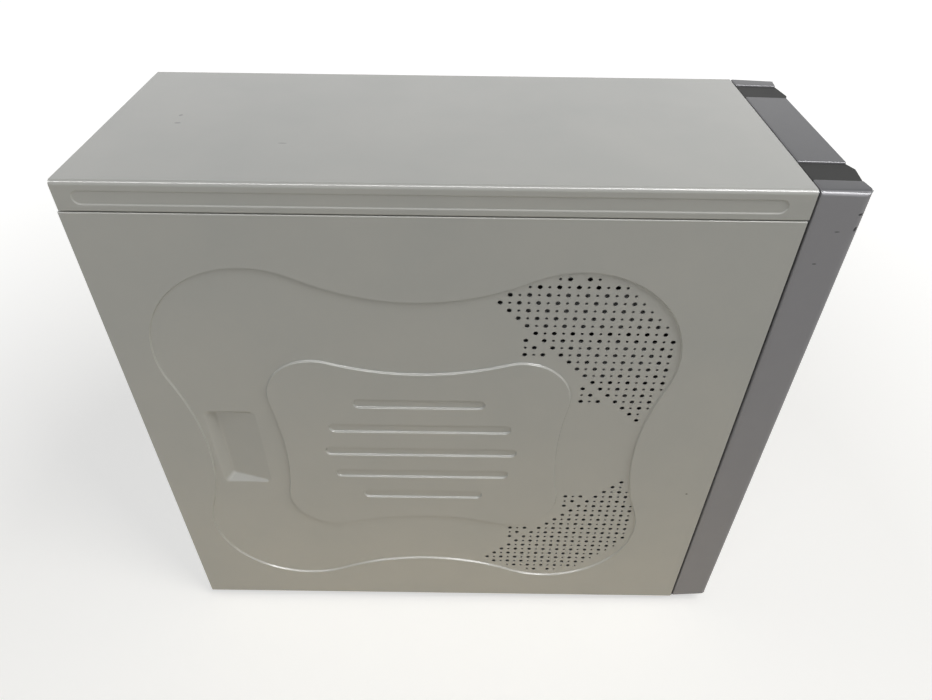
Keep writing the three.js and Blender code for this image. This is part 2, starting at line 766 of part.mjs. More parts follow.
// Front bezel and what it carries
const bezelFall = 2.6; // how far the bezel's top falls, and its foot rises, from back to face
const bezelCorner = 3;
const finNose = 3.4; // radius of a fin's outer edge
const crestInset = 7; // a dark strip's crest from its inner edge
const stripCrest = stripInner + crestInset; // from the middle
const grooveFloor = bezelFace + stripSeat;
const topGroove = 4; // depth of the strips' groove in the bezel's top
const stripSunk = 1; // strip's top below the bezel's top
const buttonGap = 0.5;

// What lies within the bezel's tapered sides, less a layer at its foot and one at its top
function bezelTaper(foot, head) {
  const frontReach = bezelFace - finProud - cutOver;
  const rearReach = bezelBack + cutOver;
  const outline = (y) => {
    const fall = (bezelFall * (bezelBack - y)) / (bezelBack - bezelFace);
    const low = seatGap + foot + fall;
    return roundRect(-halfWidth, halfWidth, low, caseHeight - head - fall, bezelCorner, 3);
  };
  return loft(outline(frontReach), frontReach, outline(rearReach), rearReach);
}

function bezelPlan() {
  const nose = arc(halfWidth - finNose, bezelFace - finProud + finNose, finNose, 0, -Math.PI / 2, 3);
  return mirrored([
    [halfWidth, bezelBack],
    ...nose,
    [stripOuter, bezelFace],
    [stripOuter, grooveFloor],
    [stripInner, grooveFloor],
    [stripInner, bezelFace],
  ]);
}

function bezelHollow() {
  const inner = halfWidth - bezelWall;
  const shallow = grooveFloor + bezelWall;
  return mirrored([
    [inner, bezelBack + cutOver],
    [inner, bezelFace + bezelWall],
    [stripOuter + bezelWall, bezelFace + bezelWall],
    [stripOuter + bezelWall, shallow],
    [stripInner - bezelWall, shallow],
    [stripInner - bezelWall, bezelFace + bezelWall],
  ]);
}

function frontBezel() {
  const frontReach = bezelFace - finProud - cutOver;
  const slots = 9;
  const slotPitch = 9;
  const slotWidth = 4.4;
  const slotLow = 20;
  const slotHigh = 52;
  const hollow = extrusion('z', bezelHollow(), seatGap, caseHeight);
  let bezel = extrusion('z', bezelPlan(), seatGap, caseHeight).intersect(bezelTaper(0, 0));
  bezel = cut(bezel, hollow.intersect(bezelTaper(bezelWall, topGroove + bezelWall)));
  const underGroove = bezelTaper(0, topGroove);
  for (const side of [-1, 1]) {
    const a = side * stripInner;
    const b = side * stripOuter;
    const groove = block(
      Math.min(a, b), Math.max(a, b), frontReach, bezelBack + cutOver,
      wideBayTop, caseHeight + cutOver,
    );
    bezel = cut(bezel, cut(groove, underGroove));
  }
  const windows = [
    wideWindow(),
    slimWindow(),
    roundHole(0, powerZ, powerRadius, 16),
    roundHole(0, resetZ, resetRadius, 8),
    roundHole(-lampFromMiddle, lampZ, lampRadius, 8),
    roundHole(lampFromMiddle, lampZ, lampRadius, 8),
    rect(-portWidth / 2, portWidth / 2, portZ - portHeight / 2, portZ + portHeight / 2),
  ];
  for (let i = 0; i < slots; i += 1) {
    const x = (i - (slots - 1) / 2) * slotPitch;
    windows.push(rect(x - slotWidth / 2, x + slotWidth / 2, slotLow, slotHigh));
  }
  add('front_bezel', cut(bezel, extrusions('y', windows, frontReach, bezelBack)), ...silverPlastic);
}

// A strip's section in plan, seated in the bezel's groove
function stripPlan(side) {
  const inner = stripInner + seatGap;
  const outer = stripOuter - seatGap;
  return [
    [inner, grooveFloor - seatGap],
    [inner, bezelFace],
    [stripCrest, bezelFace - stripProud],
    [outer, bezelFace - seatGap],
    [outer, grooveFloor - seatGap],
  ].map(([x, y]) => [side * x, y]);
}

function bezelStrips() {
  const within = bezelTaper(0, stripSunk);
  const underLeg = bezelTaper(0, topGroove - seatGap);
  const rowTop = wideBayTop + plateGap;
  for (const [side, name] of [[-1, 'left'], [1, 'right']]) {
    const a = side * (stripInner + seatGap);
    const b = side * (stripOuter - seatGap);
    const legFront = grooveFloor - stripSeat / 2;
    const leg = cut(block(Math.min(a, b), Math.max(a, b), legFront, bezelBack, rowTop, caseHeight), underLeg);
    const upper = join(extrusion('z', stripPlan(side), rowTop, caseHeight), leg).intersect(within);
    add(`bezel_strip_upper_${name}`, upper, ...darkPlastic);
    const lower = extrusion('z', stripPlan(side), seatGap, wideBayLow - plateGap);
    add(`bezel_strip_lower_${name}`, lower.intersect(within), ...darkPlastic);
  }
}

// A blank plate for one bay, with two snap arms that reach back along the drive cage
const plateThickness = 2.4;
const armLength = 16;

function wideBayCovers() {
  const half = wideBayWidth / 2 - plateGap;
  const profile = mirrored([
    [half, bezelFace + armLength],
    [half, bezelFace - seatGap],
    [stripCrest, bezelFace - stripProud],
    [stripInner, bezelFace],
    [stripInner - plateThickness, bezelFace],
  ]);
  const hollow = mirrored([
    [half - plateThickness, bezelFace + armLength + cutOver],
    [half - plateThickness, bezelFace + plateThickness],
  ]);
  for (let bay = 1; bay < wideBays; bay += 1) {
    const high = wideBayTop - bay * wideBayPitch - plateGap / 2;
    const low = high - wideBayPitch + plateGap;
    const inside = extrusion('z', hollow, low - cutOver, high + cutOver);
    add(`wide_bay_cover_${bay}`, cut(extrusion('z', profile, low, high), inside), ...silverPlastic);
  }
}

function slimBayCover() {
  const half = slimBayWidth / 2 - plateGap;
  const profile = mirrored([[half, bezelFace + armLength], [half, bezelFace]]);
  const hollow = mirrored([
    [half - plateThickness, bezelFace + armLength + cutOver],
    [half - plateThickness, bezelFace + plateThickness],
  ]);
  const high = slimBayTop - slimBayPitch - plateGap / 2;
  const low = slimBayLow + plateGap;
  const inside = extrusion('z', hollow, low - cutOver, high + cutOver);
  add('slim_bay_cover', cut(extrusion('z', profile, low, high), inside), ...silverPlastic);
}

const powerTravel = 2.5;
const resetTravel = 1.5;

function frontButtons() {
  const flange = 1.5;
  const flangeFront = bezelFace + bezelWall + seatGap;
  const crown = 2;
  const cap = (radius, travel, sides, rise) => {
    const inner = radius - buttonGap;
    return turned('y', [
      [0, bezelFace - rise],
      [inner - crown / 2, bezelFace - rise],
      [inner, bezelFace - rise + crown / 2],
      [inner, flangeFront],
      [radius + flange, flangeFront],
      [radius + flange, flangeFront + flange],
      [radius / 2, flangeFront + flange],
      [radius / 2, frameFront - travel - seatGap],
      [0, frameFront - travel - seatGap],
    ], sides, 0, 0, 0);
  };
  const place = (name, solid, z) => {
    add(name, solid, ...silverPlastic).position.set(0, 0, z);
  };
  place('power_button', cap(powerRadius, powerTravel, 16, crown), powerZ);
  place('reset_button', cap(resetRadius, resetTravel, 8, crown / 2), resetZ);
}

function frontLamps() {
  const lens = lampRadius - seatGap;
  const profile = [
    [0, bezelFace - lens / 2],
    [lens / 2, bezelFace - lens / 3],
    [lens, bezelFace],
    [lens, bezelFace + 2 * bezelWall],
    [0, bezelFace + 2 * bezelWall],
  ];
  add('power_lamp', turned('y', profile, 8, -lampFromMiddle, lampZ, 0), ...greenLens);
  add('drive_lamp', turned('y', profile, 8, lampFromMiddle, lampZ, 0), ...amberLens);
}

const usbWidth = 13.4;
const usbHeight = 6;
const usbDepth = 12;
const usbFromMiddle = 11;

function portPanel() {
  const half = portWidth / 2 - seatGap;
  const tall = portHeight / 2 - seatGap;
  const jackRadius = 2.2;
  const jackFromMiddle = 25.5;
  const depth = 20;
  const sockets = [];
  for (const side of [-1, 1]) {
    const x = side * usbFromMiddle;
    sockets.push(rect(x - usbWidth / 2, x + usbWidth / 2, portZ - usbHeight / 2, portZ + usbHeight / 2));
    sockets.push(roundHole(side * jackFromMiddle, portZ, jackRadius, 6));
  }
  const body = block(-half, half, bezelFace, bezelFace + depth, portZ - tall, portZ + tall);
  const hollows = extrusions('y', sockets, bezelFace - cutOver, bezelFace + usbDepth);
  add('front_ports', cut(body, hollows), ...blackPlastic);
}

// Drives and their cages
const wideDriveWidth = 146;
const wideDriveHeight = 41.3;
const slimDriveWidth = 101.6;
const slimDriveHeight = 25.4;
const driveSheet = 1; // steel of a drive's case
const facePlate = 5; // thickness of a drive's plastic face
const faceProud = 1; // a drive's face in front of the bezel's middle
const driveFaceFront = bezelFace - faceProud;
const driveFaceBack = driveFaceFront + facePlate;
const driveFront = driveFaceBack + seatGap;
const opticalDepth = 168;
const driveSocketDrop = 9; // a wide drive's rear sockets below its middle
const opticalZ = wideBayTop - wideBayPitch / 2;
const trayFrontWidth = 131;
const trayFrontHeight = 16;
const trayFrontRise = 8; // tray front's middle above the drive's middle
const trayBedWidth = 127;
const trayBedHeight = 6;
const trayBedLength = 145;
const discRadius = 61;
const discSunk = 1.8;
const ejectWidth = 12;
const ejectHeight = 5;
const ejectX = 50;
const ejectDrop = 11; // eject button's middle below the drive's middle
const ejectTravel = 1.2;

const centred = (a, b, width, height) => rect(a - width / 2, a + width / 2, b - height / 2, b + height / 2);

function opticalDrive() {
  const trayZ = opticalZ + trayFrontRise;
  const half = wideBayWidth / 2 - plateGap;
  const faceLow = opticalZ - wideBayPitch / 2 + plateGap / 2;
  const faceHigh = opticalZ + wideBayPitch / 2 - plateGap / 2;
  const face = block(-half, half, driveFaceFront, driveFaceBack, faceLow, faceHigh);
  const doors = [
    centred(0, trayZ, trayFrontWidth + 2 * runGap, trayFrontHeight + 2 * runGap),
    centred(ejectX, opticalZ - ejectDrop, ejectWidth + 2 * runGap, ejectHeight + 2 * runGap),
  ];
  const doorways = extrusions('y', doors, driveFaceFront - cutOver, driveFaceBack + cutOver);
  add('optical_drive_face', cut(face, doorways), ...silverPlastic);

  const body = centred(0, opticalZ, wideDriveWidth, wideDriveHeight);
  const lidStep = 1.2; // sunk middle of the lid
  const lidInset = 14;
  const bedHalf = trayBedWidth / 2 + runGap;
  const deck = trayZ - trayBedHeight / 2 - 3 * runGap;
  const cavity = rect(-bedHalf, bedHalf, deck, opticalZ + wideDriveHeight / 2 - lidStep - driveSheet);
  const end = driveFront + opticalDepth;
  const top = opticalZ + wideDriveHeight / 2;
  const chamber = rect(
    -wideDriveWidth / 2 + driveSheet, wideDriveWidth / 2 - driveSheet,
    opticalZ - wideDriveHeight / 2 + driveSheet, deck - driveSheet,
  );
  let box = cut(
    extrusion('y', body, driveFront, end),
    extrusion('y', cavity, driveFront - cutOver, driveFaceFront + trayBedLength + facePlate),
    extrusion('y', chamber, driveFront - cutOver, end - driveSheet),
  );
  const sunk = block(-wideDriveWidth / 2 + lidInset, wideDriveWidth / 2 - lidInset,
    driveFront + lidInset, end - lidInset, top - lidStep, top + cutOver);
  const socketWidth = 20;
  const socketHeight = 9;
  const socketZ = opticalZ - driveSocketDrop;
  const sockets = [-1, 0, 1].map((i) => centred(i * 2 * socketWidth, socketZ, socketWidth, socketHeight));
  box = cut(box, sunk, extrusions('y', sockets, end - driveSheet - cutOver, end + cutOver));
  add('optical_drive', box, ...bareSteel);

  const door = centred(0, trayZ, trayFrontWidth, trayFrontHeight);
  const front = extrusion('y', door, driveFaceFront, driveFaceBack - runGap);
  const bedEnd = driveFaceFront + trayBedLength;
  const bed = block(
    -trayBedWidth / 2, trayBedWidth / 2, driveFaceFront + facePlate / 2, bedEnd,
    trayZ - trayBedHeight / 2, trayZ + trayBedHeight / 2,
  );
  const discY = driveFaceBack + discRadius + facePlate / 2;
  const well = arc(0, discY, discRadius, 0, 2 * Math.PI, 24).slice(0, -1);
  const spindle = discRadius / 3.4;
  const throat = roundRect(-spindle, spindle, discY - spindle, bedEnd + cutOver, spindle / 2, 3);
  const tray = cut(
    join(front, bed),
    extrusion('z', well, trayZ + trayBedHeight / 2 - discSunk, trayZ + trayBedHeight / 2 + cutOver),
    extrusion('z', throat, trayZ - trayBedHeight, trayZ + trayBedHeight),
  );
  add('optical_tray', tray, ...darkPlastic);

  const button = centred(ejectX, opticalZ - ejectDrop, ejectWidth, ejectHeight);
  const buttonBody = extrusion('y', button, driveFaceFront - faceProud, driveFaceBack - ejectTravel);
  add('optical_eject_button', buttonBody, ...silverPlastic);
}

const floppyZ = slimBayTop - slimBayPitch / 2;
const floppyDepth = 146;
const floppySlotWidth = 92;
const floppySlotHeight = 5;
const floppySlotDepth = 95;
const floppySlotRise = 4;
const floppyButtonX = 34;
const floppyButtonWidth = 14;
const floppyButtonHeight = 6;
const floppyButtonDrop = 6.5;
const floppyButtonTravel = 6;

function floppyDrive() {
  const half = slimBayWidth / 2 - plateGap;
  const faceLow = floppyZ - slimBayPitch / 2 + plateGap / 2;
  const faceHigh = floppyZ + slimBayPitch / 2 - plateGap / 2;
  const slot = centred(0, floppyZ + floppySlotRise, floppySlotWidth, floppySlotHeight);
  const well = centred(
    floppyButtonX, floppyZ - floppyButtonDrop,
    floppyButtonWidth + 2 * runGap, floppyButtonHeight + 2 * runGap,
  );
  const face = block(-half, half, driveFaceFront, driveFaceBack, faceLow, faceHigh);
  const openings = extrusions('y', [slot, well], driveFaceFront - cutOver, driveFaceBack + cutOver);
  add('floppy_drive_face', cut(face, openings), ...silverPlastic);
  const end = driveFront + floppyDepth;
  const wellEnd = driveFront + 2 * floppyButtonTravel;
  const chamber = rect(
    -slimDriveWidth / 2 + driveSheet, slimDriveWidth / 2 - driveSheet,
    floppyZ - slimDriveHeight / 2 + driveSheet, floppyZ + floppySlotRise - floppySlotHeight / 2 - driveSheet,
  );
  const body = cut(
    extrusion('y', centred(0, floppyZ, slimDriveWidth, slimDriveHeight), driveFront, end),
    extrusion('y', slot, driveFront - cutOver, driveFaceFront + floppySlotDepth),
    extrusion('y', chamber, driveFront - cutOver, end - driveSheet),
  );
  add('floppy_drive', body, ...bareSteel);
  const button = centred(floppyButtonX, floppyZ - floppyButtonDrop, floppyButtonWidth, floppyButtonHeight);
  const buttonFront = driveFaceFront - floppyButtonTravel / 2;
  const buttonBack = wellEnd - floppyButtonTravel - runGap;
  add('floppy_eject_button', extrusion('y', button, buttonFront, buttonBack), ...silverPlastic);
}

const slimCageInner = slimDriveWidth / 2 + seatGap;
const slimCageOuter = slimCageInner + frameSheet;
const slimCageTop = wideBayLow - frameSheet - seatGap;
const slimCageHeight = 134;
const slimCageDepth = 156;
const wideCageDepth = 176;
const diskHeight = 26.1;
const diskDepth = 147;
const diskRise = 22; // disk's underside above the slim cage's floor
const diskSetBack = 6; // disk's front face behind the front frame
const slimCageLow = slimCageTop - slimCageHeight;
const diskLow = slimCageLow + frameSheet + diskRise;

function driveCages() {
  const inner = wideDriveWidth / 2 + seatGap;
  const outer = inner + frameSheet;
  const window = 9; // height of the slots beside each drive
  const windowInset = 24;
  const trough = mirrored([
    [outer, wideBayLow - frameSheet],
    [outer, frameHigh],
    [inner, frameHigh],
    [inner, wideBayLow],
  ]);
  const slotsOf = (count, top, pitch, depth) => {
    const slots = [];
    for (let i = 0; i < count; i += 1) {
      const z = top - (i + 1 / 2) * pitch;
      slots.push(rect(windowInset, depth - windowInset, z - window / 2, z + window / 2));
    }
    return slots;
  };
  const wideSlots = slotsOf(wideBays, wideBayTop, wideBayPitch, wideCageDepth);
  const wide = cut(
    extrusion('y', trough, 0, wideCageDepth),
    extrusions('x', wideSlots, -outer - cutOver, outer + cutOver),
  );
  add('drive_cage_wide', wide, ...bareSteel);
  const slimSlots = slotsOf(slimBays, slimBayTop, slimBayPitch, slimCageDepth);
  const diskZ = diskLow + diskHeight / 2;
  slimSlots.push(rect(windowInset, slimCageDepth - windowInset, diskZ - window / 2, diskZ + window / 2));
  const tube = cut(
    block(-slimCageOuter, slimCageOuter, 0, slimCageDepth, slimCageLow, slimCageTop),
    block(-slimCageInner, slimCageInner, -cutOver, slimCageDepth + cutOver,
      slimCageLow + frameSheet, slimCageTop - frameSheet),
    extrusions('x', slimSlots, -slimCageOuter - cutOver, slimCageOuter + cutOver),
  );
  add('drive_cage_slim', tube, ...bareSteel);
}

function hardDisk() {
  const half = slimDriveWidth / 2;
  const back = diskSetBack + diskDepth;
  const high = diskLow + diskHeight;
  const corner = 4;
  const lidInset = 5;
  const lidRise = 2;
  const boardRise = 3;
  const plan = (inset, r) => roundRect(-half + inset, half - inset, diskSetBack + inset, back - inset, r, 2);
  const casting = extrusion('z', plan(0, corner), diskLow + boardRise, high - lidRise);
  const lid = extrusion('z', plan(lidInset, corner), high - 2 * lidRise, high);
  const board = block(
    -half + lidInset, half - lidInset, diskSetBack + lidInset, back,
    diskLow, diskLow + 2 * boardRise,
  );
  const socket = block(
    half / 3, half - 2 * lidInset, back - lidInset, back + cutOver,
    diskLow + boardRise / 2, diskLow + 3 * boardRise,
  );
  add('hard_disk', cut(join(casting, lid, board), socket), ...aluminium);
}

// A square fan and its rotor, made with the axis along z and the blown side at z = depth.
const fanWall = 1.8;
const fanStrut = 2; // thickness of the struts that carry the motor
const motorShare = 0.22; // fan motor's radius over the fan's size
const fanTipGap = 1; // round a rotor's blades
const sweepShare = 0.8; // a blade's sweep over its share of the circle
const rootShare = 0.88; // blade's root, inside the hub, over the hub's radius

function fanFrame(size, depth) {
  const corner = 4;
  const strutWidth = 4;
  const half = size / 2;
  const frame = cut(
    extrusion('z', roundRect(-half, half, -half, half, corner, 2), 0, depth),
    extrusion('z', roundHole(0, 0, half - fanWall, 14), -cutOver, depth + cutOver),
  );
  const reach = half - fanWall / 2;
  const low = depth - fanStrut;
  return join(
    frame,
    block(-reach, reach, -strutWidth / 2, strutWidth / 2, low, depth),
    block(-strutWidth / 2, strutWidth / 2, -reach, reach, low, depth),
    extrusion('z', roundHole(0, 0, size * motorShare, 8), low, depth),
  );
}

function fanRotor(size, depth, blades) {
  const hub = size * motorShare;
  const tip = size / 2 - fanWall - fanTipGap;
  const low = seatGap + fanTipGap / 2;
  const high = depth - fanStrut - seatGap;
  const sweep = ((2 * Math.PI) / blades) * sweepShare;
  const bladeThickness = 1.2;
  const corner = 2;
  const profile = [[0, low], [hub - corner, low], [hub, low + corner], [hub, high], [0, high]];
  const twist = (high - low - 2 * corner - bladeThickness) / sweep;
  const parts = [turned('z', profile, 8, 0, 0, 0)];
  for (let i = 0; i < blades; i += 1) {
    const outline = [...arc(0, 0, tip, 0, sweep, 2), ...arc(0, 0, hub * rootShare, sweep, 0, 1)];
    const shape = new THREE.Shape(outline.map(([a, b]) => new THREE.Vector2(a, b)));
    const blade = new THREE.ExtrudeGeometry(shape, { depth: bladeThickness, bevelEnabled: false });
    const position = blade.attributes.position;
    for (let k = 0; k < position.count; k += 1) {
      const angle = Math.atan2(position.getY(k), position.getX(k));
      position.setZ(k, position.getZ(k) + low + corner + angle * twist);
    }
    blade.rotateZ((i * 2 * Math.PI) / blades);
    parts.push(solidOf(blade));
  }
  return join(...parts);
}

function placeFan(name, size, depth, position, rotation) {
  const blades = 7;
  const pieces = { frame: fanFrame(size, depth), rotor: fanRotor(size, depth, blades) };
  for (const [piece, solid] of Object.entries(pieces)) {
    const mesh = add(`${name}_${piece}`, solid, ...blackPlastic);
    mesh.position.set(...position);
    mesh.rotation.set(...rotation);
  }
}

const towardsRear = [-Math.PI / 2, 0, 0]; // turns the blown side of a fan to the rear
const towardsBoard = [0, Math.PI / 2, 0]; // turns the blown side of a fan to the board

function caseFan() {
  const front = rearInner - seatGap - caseFanDepth;
  placeFan('case_fan', caseFanSize, caseFanDepth, [caseFanX, front, caseFanZ], towardsRear);
}

// Power supply
const supplyFanSize = 80;
const supplyFanDepth = 25;
const supplyFanX = 27;
const supplyWall = 1.2;
const supplyZ = (supplyLow + supplyTop) / 2;
const inletX = -44;
const inletRise = 18; // above the supply's middle
const inletZ = supplyZ + inletRise;
const inletWidth = 27;
const inletHeight = 20;
const inletDepth = 18;
const rockerX = -54;
const switchDrop = 14; // below the supply's middle
const rockerZ = supplyZ - switchDrop;
const rockerWidth = 13;
const rockerHalf = 9; // half length of the rocker
const rockerTilt = (8 * Math.PI) / 180;
const selectorX = -28;
const selectorZ = rockerZ;
const selectorTravel = 6;
const selectorWidth = 8;
const selectorHeight = 7;
const selectorWell = 4;

function powerSupply() {
  const bend = 2;
  const wellBack = supplyBack + cutOver;
  const ventLength = 52;
  const ventWidth = 3.2;
  const ventCount = 9;
  const cavityBack = supplyBack - supplyWall;
  const shell = roundRect(-supplyWidth / 2, supplyWidth / 2, supplyLow, supplyTop, bend, 1);
  const rockerHole = centred(rockerX, rockerZ, rockerWidth + 2 * runGap, 2 * rockerHalf + 4 * runGap);
  const inletHole = centred(inletX, inletZ, inletWidth + 2 * seatGap, inletHeight + 2 * seatGap);
  const vents = [];
  for (let i = 0; i < ventCount; i += 1) {
    const x = (i - (ventCount - 1) / 2) * 3 * ventWidth + supplyFanX / 2;
    vents.push(centred(x, supplyZ, ventWidth, ventLength));
  }
  const selectorHole = centred(
    selectorX + selectorTravel / 2, selectorZ,
    selectorTravel + selectorWidth + 2 * runGap, selectorHeight + 2 * runGap,
  );
  const fanBore = roundHole(supplyFanX, supplyZ, supplyFanSize / 2 - supplyWall, 16);
  const fanFront = cavityBack - seatGap - supplyFanDepth;
  add('supply_case', cut(
    extrusion('y', shell, supplyFront, supplyBack),
    block(
      -supplyWidth / 2 + supplyWall, supplyWidth / 2 - supplyWall, supplyFront + supplyWall, cavityBack,
      supplyLow + supplyWall, supplyTop - supplyWall,
    ),
    extrusion('y', fanBore, cavityBack - cutOver, wellBack),
    extrusions('y', [inletHole, rockerHole, selectorHole], cavityBack - cutOver, wellBack),
    extrusions('y', vents, supplyFront - cutOver, supplyFront + supplyWall + cutOver),
  ), ...bareSteel);
  placeFan('supply_fan', supplyFanSize, supplyFanDepth, [supplyFanX, fanFront, supplyZ], towardsRear);
}

function supplyGuard() {
  const wire = 1.8;
  const barThickness = 1.2;
  const ringShares = [0.84, 0.52]; // rings' radii over half the fan's size
  const back = supplyBack + seatGap;
  const half = supplyFanSize / 2;
  const bodies = ringShares.map((share) => {
    const r = half * share;
    const profile = [[r, 0], [r + wire, 0], [r + wire, wire], [r, wire], [r, 0]];
    return turned('y', profile, 12, supplyFanX, supplyZ, back);
  });
  for (const lean of [1, -1]) {
    const bar = new THREE.BoxGeometry(2 * half, barThickness, wire);
    bar.rotateY((lean * Math.PI) / 4).translate(supplyFanX, back + wire / 2, supplyZ);
    bodies.push(solidOf(bar));
  }
  add('supply_fan_guard', join(...bodies), ...aluminium);
}

function powerInlet() {
  const wall = 1.6;
  const chamfer = 4;
  const pinLength = 9;
  const pinWidth = 2;
  const pinHeight = 4;
  const pinSpread = 7;
  const socketDepth = 15;
  const front = supplyBack - inletDepth;
  const w = inletWidth / 2 - wall;
  const h = inletHeight / 2 - wall;
  const socket = mirrored([[w, -h], [w, h - chamfer], [w - chamfer, h]]);
  const floor = supplyBack - socketDepth;
  const body = extrusion('y', centred(inletX, inletZ, inletWidth, inletHeight), front, supplyBack);
  const mouth = extrusion('y', socket.map(([x, z]) => [inletX + x, inletZ + z]), floor, supplyBack + cutOver);
  const pins = [[-pinSpread, -1], [0, 1], [pinSpread, -1]].map(([x, up]) =>
    centred(inletX + x, inletZ + (up * pinHeight) / 2, pinWidth, pinHeight));
  const pinBodies = extrusions('y', pins, floor - wall, floor + pinLength);
  add('power_inlet', join(cut(body, mouth), pinBodies), ...blackPlastic);
}

function supplySwitches() {
  const crest = 2.6;
  const valley = 1.2;
  const keel = 4.4;
  const rocker = extrusion('x', [
    [crest, rockerHalf], [valley, 0], [crest, -rockerHalf],
    [-valley, -rockerHalf], [-keel, -rockerHalf / 3], [-keel, rockerHalf / 3], [-valley, rockerHalf],
  ].reverse(), -rockerWidth / 2, rockerWidth / 2);
  const rockerMesh = add('supply_rocker', rocker, ...blackPlastic);
  rockerMesh.position.set(rockerX, supplyBack - crest, rockerZ);
  rockerMesh.rotation.set(rockerTilt, 0, 0);
  const slider = centred(selectorX, selectorZ, selectorWidth, selectorHeight);
  const sliderLow = supplyBack - selectorWell + seatGap;
  add('supply_voltage_selector', extrusion('y', slider, sliderLow, supplyBack - seatGap), ...amberLens);
}

// Main board and what it carries
const socketRise = 3;
const coolerBase = 6;
const coolerRise = 40;
const coolerWide = 76;
const coolerTall = 70;
const coolerFromRear = 98; // cooler's middle from the board's rear edge
const coolerDrop = 76; // cooler's middle below the board's top
const coolerFanSize = 70;
const coolerFanDepth = 15;
const memorySlots = 3;
const memoryPitch = 10;
const memoryLength = 134;
const memorySlotWidth = 6;
const memorySlotRise = 9;
const memoryFromFront = 14; // first slot's middle from the board's front edge
const memoryDrop = 12; // slots' upper end below the board's top
const cardSlotLength = 86;
const cardSlotRise = 11;
const cardSlotFromRear = 50;
const powerPortRise = 11;
const powerPortDrop = 170; // power socket's middle below the board's top
const portInset = 8; // power socket's middle from the board's front edge
const boardSlots = 4; // card slots that the board has; the rear panel has openings for more

const coolerY = boardRear - coolerFromRear;
const coolerZ = boardTop - coolerDrop;

function mainBoard() {
  const slotWidth = 7;
  const socket = 46;
  const chipHalf = 16;
  const chipRise = 9;
  const chipDrop = 150;
  const portWidth = 9;
  const powerPortHeight = 50;
  const drivePortHeight = 56;
  const drivePortRise = 8;
  const portGap = 8; // between the power socket and the drives' socket
  const canRadius = 4;
  const canRise = 12;
  const canPitch = 13;
  const cans = 4;
  const rooted = boardFace + boardThickness / 2;
  const onBoard = (y, z, length, height, rise) => block(
    boardFace - rise, rooted, y - length / 2, y + length / 2, z - height / 2, z + height / 2,
  );
  const parts = [block(boardFace, boardBack, boardFront, boardRear, boardLow, boardTop)];
  parts.push(onBoard(coolerY, coolerZ, socket, socket, socketRise));
  for (let i = 0; i < memorySlots; i += 1) {
    const y = boardFront + memoryFromFront + i * memoryPitch;
    const z = boardTop - memoryDrop - memoryLength / 2;
    parts.push(onBoard(y, z, memorySlotWidth, memoryLength, memorySlotRise));
  }
  for (let i = 0; i < boardSlots; i += 1) {
    const y = boardRear - cardSlotFromRear - cardSlotLength / 2;
    const z = cardZ(i);
    if (z - slotWidth / 2 > boardLow) parts.push(onBoard(y, z, cardSlotLength, slotWidth, cardSlotRise));
  }
  parts.push(onBoard(boardRear - coolerFromRear, boardTop - chipDrop, 2 * chipHalf, 2 * chipHalf, chipRise));
  const portY = boardFront + portInset;
  const powerPortZ = boardTop - powerPortDrop;
  const drivePortZ = powerPortZ - (powerPortHeight + drivePortHeight) / 2 - portGap;
  parts.push(onBoard(portY, powerPortZ, portWidth, powerPortHeight, powerPortRise));
  parts.push(onBoard(portY, drivePortZ, portWidth, drivePortHeight, drivePortRise));
  for (let i = 0; i < cans; i += 1) {
    const y = coolerY + (i - (cans - 1) / 2) * canPitch;
    const z = coolerZ + coolerTall / 2 + canPitch;
    parts.push(extrusion('x', roundHole(y, z, canRadius, 6), boardFace - canRise, rooted));
  }
  add('main_board', join(...parts), ...boardGreen);
}

function rearPorts() {
  const inset = 1; // shield inside the rear panel's opening
  const shieldFace = rearInner - seatGap;
  const shieldBack = shieldFace - frameSheet;
  const edge = boardFace - seatGap;
  const far = apertureHigh - apertureWidth - inset;
  const proud = 2;
  const shield = block(far, edge, shieldBack, shieldFace, apertureLow - inset, apertureTop + inset);
  const shortPort = 12; // depth behind the shield
  const middlePort = 14;
  const longPort = 16;
  // Each connector: drop of its middle below the opening's top, height, reach from the board, depth
  const portShares = [
    { drop: 0.07, tall: 0.085, reach: 0.62, deep: shortPort },
    { drop: 0.22, tall: 0.2, reach: 0.3, deep: shortPort },
    { drop: 0.47, tall: 0.2, reach: 0.3, deep: shortPort },
    { drop: 0.68, tall: 0.095, reach: 0.72, deep: longPort },
    { drop: 0.88, tall: 0.2, reach: 0.3, deep: middlePort },
  ];
  const wall = 1.6;
  const bodies = [shield];
  const mouths = [];
  for (const { drop, tall, reach, deep } of portShares) {
    const z = apertureTop - drop * apertureHeight;
    const half = (tall * apertureHeight) / 2;
    const left = edge - reach * (edge - far);
    bodies.push(block(left, edge, shieldBack - deep, rearOuter + proud, z - half, z + half));
    mouths.push(rect(left + wall, edge - wall, z - half + wall, z + half - wall));
  }
  const hollow = 9;
  const mouthBodies = extrusions('y', mouths, rearOuter - hollow, rearOuter + proud + cutOver);
  add('rear_ports', cut(join(...bodies), mouthBodies), ...bareSteel);
}

function cooler() {
  const fins = 12;
  const finThickness = 1.4;
  const high = boardFace - socketRise - seatGap;
  const low = high - coolerRise;
  const pitch = (coolerTall - finThickness) / (fins - 1);
  const comb = [];
  for (let i = 0; i < fins; i += 1) {
    const z = coolerZ - coolerTall / 2 + i * pitch;
    const rootX = high - coolerBase;
    if (i > 0) comb.push([rootX, z]);
    comb.push([low, z], [low, z + finThickness]);
    if (i < fins - 1) comb.push([rootX, z + finThickness]);
  }
  comb.push([high, coolerZ + coolerTall / 2], [high, coolerZ - coolerTall / 2]);
  const body = extrusion('y', comb.reverse(), coolerY - coolerWide / 2, coolerY + coolerWide / 2);
  add('processor_cooler', body, ...aluminium);
  const fanLow = low - seatGap - coolerFanDepth;
  placeFan('cooler_fan', coolerFanSize, coolerFanDepth, [fanLow, coolerY, coolerZ], towardsBoard);
}

